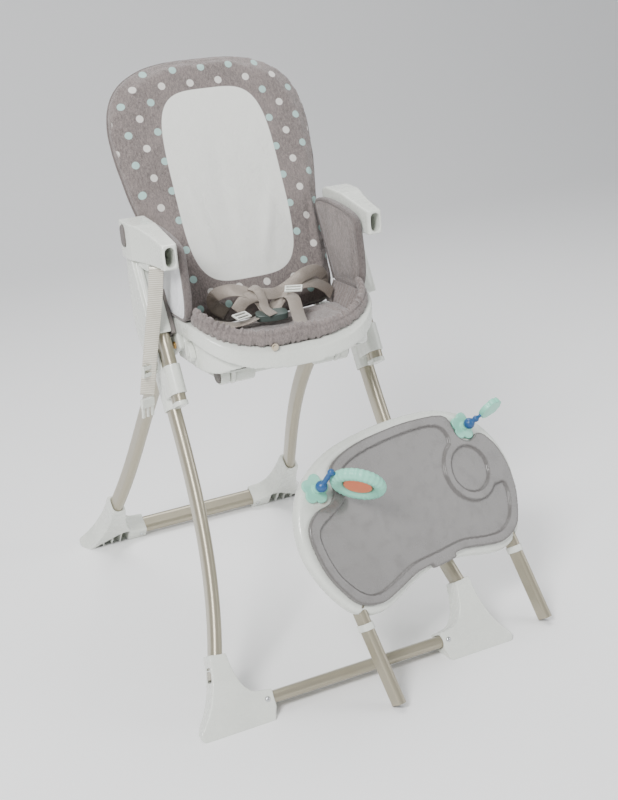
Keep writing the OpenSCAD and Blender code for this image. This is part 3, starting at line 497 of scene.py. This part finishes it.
# %% [markdown]
# ## Painted tube
# The legs are flat-oval steel tube, bent in one plane. The frame holds them as straight facets, so
# each leg is made again here as a smooth sweep along the same bend: the height falls evenly with t,
# the foot kicks outward with t cubed, and the lean follows a parabola that ends along the foot.

# %% Legs
TUBE_ACROSS, TUBE_ALONG = 20 * MM, 36 * MM


def mirror_x(path):
    """The same path on the chair's other side."""
    return path * np.array([-1, 1, 1])


def swept_leg(name, path, lean_normal, source, side):
    """A flat-oval tube along path (in chair coordinates), its long side facing lean_normal."""
    path = mirror_x(path) if side < 0 else path
    grid = sweep(path + ORIGIN, flat_oval(TUBE_ACROSS, TUBE_ALONG, 16), lean_normal)
    leg = grid_piece(name, grid, nodes[source]["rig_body"], PAINT)
    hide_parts(source)
    return leg


FRONT_SLOPE, REAR_SLOPE = 0.6, 0.8
FRONT_ENTRY = np.array([230, -342, 97]) * MM
REAR_ENTRY = np.array([198, 304.5, 119]) * MM
RAIL_X, RAIL_LEAN = 184 * MM, math.radians(26.7)


def on_rail(y, s):
    """A point of the rail's own frame: y behind the rail's axis, s up along it."""
    cl, sl = math.cos(RAIL_LEAN), math.sin(RAIL_LEAN)
    return np.array([-172 * MM + y * cl + s * sl, 477 * MM - y * sl + s * cl])


t = np.linspace(0, 1, 49)
top = on_rail(48 * MM, 50 * MM)
kick = FRONT_SLOPE * (top[1] - FRONT_ENTRY[2]) / (top[0] - FRONT_ENTRY[1]) - 1
front = np.stack([RAIL_X + (FRONT_ENTRY[0] - RAIL_X) * t**3,
                  top[0] + (FRONT_ENTRY[1] - top[0]) * ((1 - kick) * t + kick * t**2),
                  top[1] + (FRONT_ENTRY[2] - top[1]) * t], -1)
pivot = on_rail(43 * MM, 105 * MM)
t_rear = np.linspace(1 / 16, 1, 49)
bow = t_rear + (0.6 - 0.5 * t_rear) * t_rear * (1 - t_rear)
REAR_TOP_X = 161 * MM
rear = np.stack([REAR_TOP_X + (REAR_ENTRY[0] - REAR_TOP_X) * (-0.55 * t_rear + 1.55 * t_rear**2),
                 pivot[0] + (REAR_ENTRY[1] - pivot[0]) * bow,
                 pivot[1] + (REAR_ENTRY[2] - pivot[1]) * t_rear], -1)
for label, path, normal in (("front", front, (0, 1, -FRONT_SLOPE)), ("rear", rear, (0, 1, REAR_SLOPE))):
    inside = path[-1] + unit(path[-1] - path[-2]) * 0.038
    whole = np.concatenate([path, inside[None]])
    for side, word in ((-1, "left"), (1, "right")):
        swept_leg(f"{label}_leg_tube_{word}", whole, normal, f"{label}_leg_{word}", side)

for n in ("front_crossbar", "rear_crossbar", "rail_left", "rail_right", "tray_tubes"):
    nodes[n].data.materials.clear()
    nodes[n].data.materials.append(PAINT)


# %% [markdown]
# ## Moulded plastic
# White mouldings have no sharp corners. The frame's solids are exact but crisp, so each is given one
# even skin of small quads, and a few smoothing passes round its corners by two or three millimetres.

# %% White and grey mouldings
WHITE_PARTS = [("front_foot_left", 1.6, 9), ("front_foot_right", 1.6, 9), ("rear_foot_left", 1.6, 9),
               ("rear_foot_right", 1.6, 9), ("leg_bracket_left", 1.2, 7), ("leg_bracket_right", 1.2, 7),
               ("rail_caps", 1.0, 5), ("rear_hubs", 1.2, 7), ("side_housing_left", 1.4, 7),
               ("side_housing_right", 1.4, 7), ("armrest_left", 1.3, 14), ("armrest_right", 1.3, 14),
               ("seat_pan", 2.0, 9), ("seat_hooks", 1.0, 5), ("back_shell", 2.4, 4),
               ("footrest_frame", 1.6, 9), ("footrest_panel", 1.5, 4), ("tray_base", 2.4, 8),
               ("tray_collars", 0.9, 4), ("tether_lock", 0.7, 3), ("tether_clip", 0.7, 3)]
for source, voxel, rounds in WHITE_PARTS:
    made = moulded(source, voxel, rounds, WHITE)
    print(source, len(made.data.polygons), "faces")
for source in ("armrest_button_left", "armrest_button_right",
               "footrest_button_left", "footrest_button_right"):
    moulded(source, 0.7, 4, GREY_CAP)
moulded("recline_lever", 1.1, 6, GREY_CAP)
moulded("tray_insert", 1.7, 5, INSERT_GREY)
moulded("slide_blocks", 1.0, 4, GREY_CAP)
moulded("pivot_lugs", 1.0, 3, WHITE)
moulded("buckle", 0.8, 5, BUCKLE_GREEN)
moulded("adjusters", 0.5, 2, WHITE)
moulded("toy_clips", 0.9, 5, MINT)
moulded("toy_clam", 0.8, 5, MINT)
moulded("toy_stems", 0.7, 2, BLUE)
moulded("toy_ring_centre", 0.7, 4, CORAL)
for n, finish in (("front_screws", STEEL), ("rear_screws", STEEL),
                  ("seat_rivets", BRASS), ("flap_snap", NICKEL)):
    nodes[n].data.materials.clear()
    nodes[n].data.materials.append(finish)


# %% [markdown]
# ## The ring toy
# A soft ring with a scalloped rim. Its surface is a torus whose tube swells and narrows as it goes
# round: radius = base + ripple * cos(24 * angle), and the ripple fades on the inner side.

# %% Ring toy
ring_joint = joints["toy_ring_centre_spin"]
RING_CENTRE = np.array(ring_joint["pos_m"])
spin_way = unit(np.array(ring_joint["axis"]))
arm_way = unit(np.array(joints["toy_ring_turn"]["axis"]))
RING_MAIN, RING_TUBE, SCALLOPS = 36 * MM, 10.4 * MM, 28

a = np.linspace(0, 2 * math.pi, 192, endpoint=False)[:, None]
b = np.linspace(0, 2 * math.pi, 40, endpoint=False)[None, :]
face_way = np.cross(spin_way, arm_way)
outer_share = 0.5 + 0.5 * np.cos(b)
tube = RING_TUBE - 1.1 * MM * (0.5 - 0.5 * np.cos(SCALLOPS * a)) * outer_share
across = RING_MAIN + tube * np.cos(b)
ring_grid = (RING_CENTRE + (across * np.cos(a))[..., None] * arm_way
             + (across * np.sin(a))[..., None] * spin_way
             + (tube * np.sin(b) * np.ones_like(a))[..., None] * face_way)
toy_ring = grid_piece("toy_ring_scalloped", ring_grid, "toy_ring", MINT, wrap_rows=True)
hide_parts("toy_ring")


# %% [markdown]
# ## Stuffed pieces
# A pad is a bag blown up by its filling. The recipe: give the CAD solid an even skin of 5 mm quads,
# let the Cloth solver push it outwards with a little pressure and no gravity, and stop any point
# from moving further than a cap. The mesh is then fixed, subdivided once and creased by listed
# folds: each fold is a line on the cloth with a rounded ridge across it.

# %% Stuffing
CLOTH_STEPS = 20


def normals_of(obj):
    """Unit normals at the mesh's points."""
    n = np.zeros(len(obj.data.vertices) * 3)
    obj.data.vertices.foreach_get("normal", n)
    return n.reshape(-1, 3)


def stuffed(name, source, voxel, cap, material, pressure=4.0, levels=1):
    """A padded copy of a CAD solid, puffed by at most cap millimetres."""
    obj = remeshed(name, [source], voxel * MM)
    relax = obj.modifiers.new("relax", "SMOOTH")
    relax.iterations = 6
    evaluated(obj)
    start = points_of(obj)
    cloth = obj.modifiers.new("cloth", "CLOTH")
    cloth.settings.use_pressure = True
    cloth.settings.uniform_pressure_force = pressure
    cloth.settings.effector_weights.gravity = 0
    cloth.settings.mass = 0.3
    cloth.settings.quality = 5
    for step in range(1, CLOTH_STEPS + 1):
        bpy.context.scene.frame_set(step)
    evaluated(obj)
    bpy.context.scene.frame_set(1)
    moved = points_of(obj) - start
    set_points(obj, start)
    outward = normals_of(obj)
    swell = np.clip(np.sum(moved * outward, axis=1), 0.8 * MM, cap * MM)
    set_points(obj, start + outward * swell[:, None])
    soft = obj.modifiers.new("soft", "SUBSURF")
    soft.levels = soft.render_levels = levels
    evaluated(obj)
    obj.data.materials.clear()
    obj.data.materials.append(material)
    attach(obj, nodes[source]["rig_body"])
    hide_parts(source)
    print(name, len(obj.data.polygons), "faces after stuffing")
    return obj


def line_distance(flat, a, b):
    """Distance of 2-D points from the segment a to b, and how far along it they lie, 0 to 1."""
    a, b = np.array(a, float), np.array(b, float)
    along = np.clip((flat - a) @ (b - a) / ((b - a) @ (b - a)), 0, 1)
    return np.linalg.norm(flat - a - along[:, None] * (b - a), axis=1), along


def creased(obj, flat, folds, mask=1.0):
    """Pushes points along their normals by height * exp(-(distance / width)^2), fading at the fold's ends."""
    co, push = points_of(obj), np.zeros(len(flat))
    for a, b, height, width in folds:
        far, along = line_distance(flat, a, b)
        push += height * np.exp(-(far / width) ** 2) * np.sin(math.pi * np.clip(along, 0.03, 0.97)) ** 0.5
    set_points(obj, co + normals_of(obj) * (push * mask)[:, None])


def rim_of(obj, origin, side, up, count, margin=0.0):
    """The piece's outline seen square on: the furthest point in each of count directions, smoothed."""
    co = points_of(obj)
    flat = np.stack([(co - origin) @ side, (co - origin) @ up], -1)
    middle = (flat.max(0) + flat.min(0)) / 2
    reach = flat - middle
    turned = (np.arctan2(reach[:, 1], reach[:, 0]) + math.pi) / (2 * math.pi)
    way = np.floor(turned * count).astype(int) % count
    far = np.linalg.norm(reach, axis=1)
    order = np.lexsort((far, way))
    last = np.searchsorted(way[order], np.arange(count), side="right") - 1
    path = co[order[last]]
    for _ in range(4):
        path = (np.roll(path, 1, 0) + 2 * path + np.roll(path, -1, 0)) / 4
    centre = origin + side * middle[0] + up * middle[1]
    return path + unit(path - centre) * margin


def piping(name, path, radius, body, closed=True, material=None):
    """A covered cord sewn along an edge: a small round tube along the path."""
    outward = unit(path - path.mean(0))
    grid = sweep(path, round_profile(radius, 10), outward, closed)
    cord = grid_piece(name, grid, body, material or PIPING, wrap_rows=closed)
    return cord


def stitches(name, path, lift, body, pitch=4.2 * MM, long=3.0 * MM, thick=0.35 * MM, closed=False):
    """A row of sewn stitches: short six-sided beads laid end to end along a path, raised along lift."""
    ends = np.concatenate([path, path[:1]]) if closed else path
    run = np.concatenate([[0], np.cumsum(np.linalg.norm(np.diff(ends, axis=0), axis=1))])
    middle = np.arange(pitch, run[-1] - pitch, pitch)
    spot = np.stack([np.interp(middle, run, ends[:, k]) for k in range(3)], -1)
    ahead = np.stack([np.interp(middle + long / 2, run, ends[:, k]) for k in range(3)], -1)
    way = unit(ahead - spot)
    lift = np.broadcast_to(np.asarray(lift, float), spot.shape) if np.ndim(lift) == 1 else lift[:len(spot)]
    side = unit(np.cross(way, lift))
    top = np.cross(side, way)
    turn = np.arange(6) * math.pi / 3
    circle = (np.cos(turn)[None, None, :, None] * side[:, None, None]
              + np.sin(turn)[None, None, :, None] * top[:, None, None])
    stations = np.array([(-0.5, 0.35), (-0.3, 1.0), (0.3, 1.0), (0.5, 0.35)])
    centre = spot[:, None] + way[:, None] * (stations[:, 0] * long)[None, :, None]
    beads = centre[:, :, None] + circle * (stations[:, 1] * thick)[None, :, None, None]
    one = grid_faces(4, 6)
    caps = [[5, 4, 3, 2, 1, 0], [18, 19, 20, 21, 22, 23]]
    faces = [(f + 24 * i).tolist() for i in range(len(spot)) for f in one]
    faces += [[v + 24 * i for v in c[::-1]] for i in range(len(spot)) for c in caps]
    row = piece(name, beads.reshape(-1, 3), [f[::-1] for f in faces], body, THREAD)
    return row


# %% [markdown]
# ## The back pad
# A tall cushion with a rounded top, crowned in front and flat against its shell. Its cloth is pulled a
# little at the edge by the piping's stitches, and slack lies in it in long soft folds.

# %% Back pad
back = stuffed("back_cushion", "back_pad", 5.0, 7.0, PANEL_CLOTH)
SIDE_WAY = np.array([1.0, 0, 0])
co = points_of(back)
flat = np.stack([(co - PAD_FOOT) @ SIDE_WAY, (co - PAD_FOOT) @ PAD_UP], -1)
facing = np.clip(normals_of(back) @ PAD_OUT, 0, 1)
FOLDS = [((-0.05, 0.10), (-0.075, 0.24), 0.0035, 0.010), ((-0.02, 0.09), (-0.01, 0.30), -0.0025, 0.014),
         ((0.03, 0.08), (0.075, 0.21), 0.0030, 0.011), ((0.06, 0.24), (0.10, 0.12), -0.0020, 0.010),
         ((-0.10, 0.33), (-0.155, 0.24), 0.0015, 0.010), ((0.125, 0.10), (0.145, 0.20), -0.0035, 0.007),
         ((-0.03, 0.25), (0.02, 0.17), 0.0018, 0.009)]
creased(back, flat, FOLDS, facing)
outline = rim_of(back, PAD_FOOT, SIDE_WAY, PAD_UP, 220, -0.0006)
co = points_of(back)
near = np.full(len(co), 1.0)
nearest = np.zeros(len(co), int)
for k, p in enumerate(outline):
    d = np.linalg.norm(co - p, axis=1)
    closer = d < near
    near[closer], nearest[closer] = d[closer], k
pucker = np.exp(-((near - 0.014) / 0.008) ** 2) * np.sin(nearest * 2 * math.pi * 0.24 + near * 90) * 0.0007
dent = -0.0014 * np.exp(-((near - 0.0055) / 0.0028) ** 2)
set_points(back, co + normals_of(back) * (pucker + dent)[:, None])
piping("back_piping", outline, 2.3 * MM, "backrest")
for k, (u, low, high) in enumerate(((0.1335, 0.150, 0.196), (0.1500, 0.154, 0.192))):
    v = np.linspace(low, high, 12)
    spots = PAD_FOOT + SIDE_WAY * u + v[:, None] * PAD_UP
    nearest_front = [np.argmin(np.linalg.norm(flat - (u, h), axis=1) - 9 * facing) for h in v]
    front_at = (points_of(back)[nearest_front] - PAD_FOOT) @ PAD_OUT
    stitches(f"back_tuck_stitches_{k}", spots + front_at[:, None] * PAD_OUT, PAD_OUT, "backrest")
print("back outline", outline.min(0).round(3), outline.max(0).round(3))


# %% [markdown]
# ## Wings
# Two stiff padded panels stand up from the pan's edge beside the back. The inside is heather cloth,
# the outside a white lining, and a grey binding runs round the edge with a row of stitches inside it.

# %% Wing panels
for side, word in ((-1, "left"), (1, "right")):
    low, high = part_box(f"wing_{word}")
    outer = high.x if side > 0 else low.x
    cloth = heather(f"wing_cloth_{word}", paint_over=lining_side(outer - side * 0.0045, side))
    wing = stuffed(f"wing_panel_{word}", f"wing_{word}", 3.5, 3.0, cloth, 3.0)
    middle = np.array([(low.x + high.x) / 2, 0, 0])
    edge = rim_of(wing, middle, np.array([0, 1.0, 0]), np.array([0, 0, 1.0]), 140, -0.0004)
    edge[:, 0] = middle[0]
    edge_way = unit(np.roll(edge, -1, 0) - np.roll(edge, 1, 0))
    inward = np.cross(edge_way, np.array([1.0, 0, 0]))
    inward *= np.sign(np.sum((edge.mean(0) - edge) * inward, axis=1, keepdims=True))
    grid = sweep(edge, tape_profile(14.0 * MM, 7.5 * MM, 6), inward, True)
    binding = grid_piece(f"wing_binding_{word}", grid, "seat_unit", PIPING, wrap_rows=True)
    sewn = edge + inward * 0.010 - np.array([side * 0.0066, 0, 0])
    stitches(f"wing_stitches_{word}", sewn, np.array([-float(side), 0, 0]), "seat_unit", closed=True)


# %% [markdown]
# ## Seat cushion and front flap
# The seat cushion fills the pan. In front the cover ends in a gathered flap: an elastic edge pulls
# its cloth into pleats, so its skin is a fat strip along the rim whose thickness ripples by cosine.

# %% Seat cushion
seat = stuffed("seat_cushion", "seat_pad", 4.5, 4.0, HEATHER, 3.0)
co = points_of(seat)
flat = (co - ORIGIN)[:, :2]
up = np.clip(normals_of(seat)[:, 2], 0, 1)
bowl = 0.008 * np.exp(-(flat[:, 0] / 0.09) ** 2 - ((flat[:, 1] + 0.18) / 0.07) ** 2)
set_points(seat, co - np.array([0, 0, 1.0]) * (bowl * up)[:, None])
SEAT_FOLDS = [((-0.12, -0.15), (-0.05, -0.22), 0.003, 0.009), ((0.12, -0.13), (0.06, -0.22), 0.003, 0.008),
              ((0.02, -0.13), (0.09, -0.16), -0.003, 0.008), ((-0.02, -0.245), (0.07, -0.235), 0.002, 0.008),
              ((0.105, -0.15), (0.115, -0.21), -0.003, 0.007)]
creased(seat, flat, SEAT_FOLDS, up)


# %% Front flap
def pan_edge(inset, count):
    """The pan's plan curve from its left side round the front to its right side, inset in metres:
    straight sides, then a quadratic bend on each side, in chair coordinates."""
    half, reach = 0.163 - inset, 0.285 - inset
    s = np.linspace(0, 1, count)[:, None]
    a, b, c = np.array([half, -0.195]), np.array([half - 0.004, -reach + 0.008]), np.array([0.034, -reach])
    bend = a * (1 - s) ** 2 + 2 * b * s * (1 - s) + c * s**2
    right = bend[::-1]
    left = bend * np.array([-1, 1])
    return np.concatenate([left, right])


def rim_height(y):
    """Top of the pan's rim against depth: level at the back, then a smooth fall to the front lip."""
    s = np.clip((-0.190 - y) / 0.101, 0, 1)
    return 0.610 - 0.052 * s**1.7


plan = pan_edge(0.0125, 130)
step = np.linalg.norm(np.diff(plan, axis=0), axis=1)
run = np.concatenate([[0], np.cumsum(step)])
even = np.linspace(0, run[-1], 620)
plan = np.stack([np.interp(even, run, plan[:, k]) for k in (0, 1)], -1)
middle_share = np.clip(1 - np.abs(even / run[-1] - 0.5) * 2, 0, 1)
base = np.concatenate([plan, rim_height(plan[:, 1])[:, None]], 1) + ORIGIN
angle = np.linspace(0, 2 * math.pi, 36, endpoint=False)[None]
gather = np.clip(np.sin(math.pi * middle_share) * 1.3, 0.35, 1)[:, None]
drift = 0.006 * np.sin(even * 31) + 0.004 * np.sin(even * 67 + 2)
pleat = (0.55 * np.cos((even + drift) / 0.0115 * 2 * math.pi)
         + 0.3 * np.cos((even - drift) / 0.0073 * 2 * math.pi + 1.3)
         + 0.3 * np.cos(even / 0.031 * 2 * math.pi + 0.6))[:, None]
tall = 0.0150 - 0.003 * np.sin(math.pi * middle_share)[:, None]
width = 0.0064 + 0.0030 * pleat * gather * (0.35 + 0.65 * np.clip(np.sin(angle), -0.3, 1))
casing = 1 - 0.42 * np.exp(-((np.sin(angle) - 0.30) / 0.15) ** 2)
profile = np.stack([width * np.cos(angle) * casing,
                    tall * (0.82 + np.sin(angle)) + 0.0026 * pleat * np.sin(angle)], -1)
flap_grid = sweep(base, profile, (0, 0, 1))
lean = np.clip(profile[..., 1:2] / 0.028, 0, 1) * 0.006
out_way = unit(np.concatenate([plan - np.array([0, -0.16]), np.zeros((len(plan), 1))], 1))
flap_grid = flap_grid - out_way[:, None] * (lean - 0.002)
flap = grid_piece("front_flap_gathered", flap_grid, "seat_unit", HEATHER)
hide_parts("front_flap")
for k, col in enumerate((24, 27)):
    stitches(f"flap_stitches_{k}", flap_grid[6:-6, col], out_way[300], "seat_unit", 3.4 * MM, 2.3 * MM)


# %% [markdown]
# The same cover climbs the pan's inner wall on both sides, up to the wings and the back. It is a thin
# closed strip along the rim: its lower edge lies on the cushion, its upper edge tucks over the rim,
# and between them the cloth hangs a little loose, which shows as shallow upright puckers.

# %% Side cover
def side_cover(word, side):
    """A strip from the cushion to the rim: position = rim curve moved inwards by an S-shaped amount."""
    along = np.linspace(-0.094, -0.222, 90)
    down = np.linspace(0, 1, 14)
    half = 0.1495 - 0.010 * np.clip((-0.19 - along) / 0.04, 0, 1) ** 2
    ease = down**2 * (3 - 2 * down)
    top, low = rim_height(along) + 0.0028, np.full_like(along, 0.5765)
    wave = 0.0011 * (np.cos(along / 0.011 * 2 * math.pi) + 0.6 * np.cos(along / 0.0175 * 2 * math.pi))
    x = half[:, None] - 0.016 * ease[None] + wave[:, None] * np.sin(math.pi * down)[None]
    z = top[:, None] * (1 - down)[None] + low[:, None] * down[None]
    face = np.stack([side * x, np.broadcast_to(along[:, None], x.shape), z], -1)
    behind = face + np.array([side * 0.0016, 0, -0.0002])
    grid = np.concatenate([face, behind[:, ::-1]], 1) + ORIGIN
    strip = grid_piece(f"side_cover_{word}", grid, "seat_unit", HEATHER, flip=side > 0)
    return strip


side_cover("left", -1)
side_cover("right", 1)


def wing_gusset(word, side):
    """Cloth between a wing's rear edge and the back pad: a ruled strip from (wing x, front line) to the
    shell's side, both lines leaning with the back, with a shallow sag between them."""
    up = np.linspace(0.034, 0.172, 40)
    over = np.linspace(0, 1, 12)
    line = PAD_FOOT + up[:, None] * PAD_UP
    wing_x = 0.1512
    start = np.stack([np.full_like(up, side * wing_x), line[:, 1] - 0.004 - ORIGIN[1], line[:, 2]], -1)
    end = np.stack([np.full_like(up, side * 0.1675), line[:, 1] + 0.024 - ORIGIN[1], line[:, 2]], -1)
    sag = np.sin(math.pi * over) * 0.002 * (1 + 0.5 * np.sin(up / 0.021 * 2 * math.pi))[:, None]
    face = start[:, None] * (1 - over)[None, :, None] + end[:, None] * over[None, :, None]
    face[..., 0] += side * sag
    behind = face + np.array([side * 0.0012, 0.0008, 0])
    grid = np.concatenate([face, behind[:, ::-1]], 1) + np.array([ORIGIN[0], ORIGIN[1], 0])
    strip = grid_piece(f"wing_gusset_{word}", grid, "seat_unit", HEATHER, flip=side < 0)
    return strip


wing_gusset("left", -1)
wing_gusset("right", 1)


# %% [markdown]
# ## Harness and tether
# Webbing is flat tape, so each strap is a thin rounded profile carried along a smooth curve through a
# few listed points. Its own map counts millimetres, so the weave runs along it round every loop.

# %% Straps
def strap(name, points, width, up, body, material, source=None, thick=1.5 * MM, steps=14):
    """A tape along a curve through points (millimetres, in chair coordinates)."""
    path = smooth_path(np.array(points) * MM, steps) + ORIGIN
    ways = np.array(up, float)
    if ways.ndim == 2:
        spans = np.linspace(0, len(ways) - 1, len(path))
        ways = np.stack([np.interp(spans, np.arange(len(ways)), ways[:, k]) for k in range(3)], -1)
    profile = tape_profile(width * MM, thick, 4)
    grid = sweep(path, profile, ways)
    length = np.concatenate([[0], np.cumsum(np.linalg.norm(np.diff(path, axis=0), axis=1))])
    uv = np.stack(np.broadcast_arrays(profile[None, :, 0], length[:, None]), -1).reshape(-1, 2)
    tape = grid_piece(name, grid, body, material, uv=uv)
    if source:
        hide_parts(source)
    return tape


HEAP = 580
LAP_LEFT = [(-132, -122, HEAP + 18), (-112, -142, HEAP + 13), (-82, -160, HEAP + 7), (-56, -170, HEAP + 8),
            (-32, -172, HEAP + 13)]
LAP_RIGHT = [(132, -122, HEAP + 16), (118, -124, HEAP + 30), (92, -130, HEAP + 44), (62, -136, HEAP + 46),
             (34, -142, HEAP + 38), (14, -150, HEAP + 24), (4, -160, HEAP + 15)]
LOOP_RIGHT = [(116, -116, HEAP + 22), (124, -112, HEAP + 44), (108, -118, HEAP + 60), (78, -128, HEAP + 60),
              (46, -134, HEAP + 46), (20, -140, HEAP + 40), (-10, -146, HEAP + 44), (-40, -146, HEAP + 40),
              (-60, -150, HEAP + 24)]
SHOULDER_LEFT = [(-60, -100, HEAP + 10), (-84, -112, HEAP + 30), (-88, -126, HEAP + 50),
                 (-66, -134, HEAP + 58), (-38, -138, HEAP + 52), (-16, -146, HEAP + 34),
                 (-10, -158, HEAP + 20)]
SHOULDER_DOWN = [(-24, -132, HEAP + 56), (-18, -146, HEAP + 54), (-14, -158, HEAP + 40),
                 (-16, -172, HEAP + 26), (-10, -190, HEAP + 18)]
CROTCH = [(30, -148, HEAP + 34), (33, -162, HEAP + 38), (34, -178, HEAP + 34), (30, -196, HEAP + 20),
          (24, -220, HEAP + 10), (20, -242, HEAP + 4)]
strap("lap_strap_left", LAP_LEFT, 24, [(0.1, -0.5, 1), (0, 0.1, 1)],
      "seat_unit", SATIN_WEB, "lap_straps")
strap("lap_strap_right", LAP_RIGHT, 24, [(0.2, -0.9, 0.5), (0, -0.6, 1), (0, 0, 1)],
      "seat_unit", SATIN_WEB)
strap("shoulder_loop_right", LOOP_RIGHT, 22, [(0.7, -1, 0), (0, -1, 0.5), (0, -0.9, 0.8), (0, -1, 0.4)],
      "seat_unit", SATIN_WEB, "shoulder_straps")
strap("shoulder_loop_left", SHOULDER_LEFT, 22, [(-0.3, -1, 0.2), (0, -1, 0.6), (0, -0.4, 1)], "seat_unit",
      SATIN_WEB)
strap("shoulder_tail", SHOULDER_DOWN, 18, [(0, -0.6, 1), (0.3, -1, 0.3), (0, -0.3, 1)],
      "seat_unit", SATIN_WEB)
strap("crotch_tape", CROTCH, 24, [(0, 0.2, 1), (0, -1, 0.8), (0, -0.4, 1)], "seat_unit", SATIN_WEB,
      "crotch_strap")

TETHER = [(-191, -157, 704), (-198, -151, 650), (-208.6, -144, 590), (-218, -134, 530), (-225, -128, 486)]
tape_up = (-0.34, -0.94, 0)
strap("tether_tape", TETHER, 24, tape_up, "seat_unit", IVORY_WEB, "tether_strap", 1.8 * MM)


# %% [markdown]
# ## Room
# A wide pale floor that turns up behind into a backdrop, one large soft light from the upper left,
# a weaker one from the right, and an even pale sky.

# %% Floor and lights
PALE = Finish("floor_paint", (0.93, 0.93, 0.93, 1), 0.9).material
s = np.linspace(0, 1, 40)
sweep_y = np.concatenate([[-6.0], 3.2 + 2.0 * np.sin(s * math.pi / 2), [5.2]])
sweep_z = np.concatenate([[0.0], 2.0 * (1 - np.cos(s * math.pi / 2)), [7.0]])
edge = np.stack([np.full_like(sweep_y, -9.0), sweep_y, sweep_z], -1)
floor = piece("floor", np.concatenate([edge, edge + np.array([18.0, 0, 0])]),
              [[i, i + len(edge), i + len(edge) + 1, i + 1] for i in range(len(edge) - 1)], None, PALE)


def area_light(name, place, aim, size, power):
    """A square lamp at place, facing aim."""
    data = bpy.data.lights.new(name, "AREA")
    data.shape = "SQUARE"
    data.size = size
    data.energy = power
    lamp = bpy.data.objects.new(name, data)
    bpy.context.scene.collection.objects.link(lamp)
    lamp.location = place
    lamp.rotation_euler = (Vector(aim) - Vector(place)).to_track_quat("-Z", "Y").to_euler()


area_light("key", (-2.3, -2.2, 3.0), (0, 0, 0.5), 1.2, 190)
area_light("fill", (2.8, -1.8, 1.7), (0, 0, 0.5), 1.6, 34)
area_light("top", (0.3, 1.0, 3.4), (0, 0, 0.4), 2.0, 80)
world = bpy.data.worlds.new("sky")
bpy.context.scene.world = world
world.use_nodes = True
world.node_tree.nodes["Background"].inputs["Color"].default_value = (0.95, 0.97, 1.0, 1)
world.node_tree.nodes["Background"].inputs["Strength"].default_value = 0.5
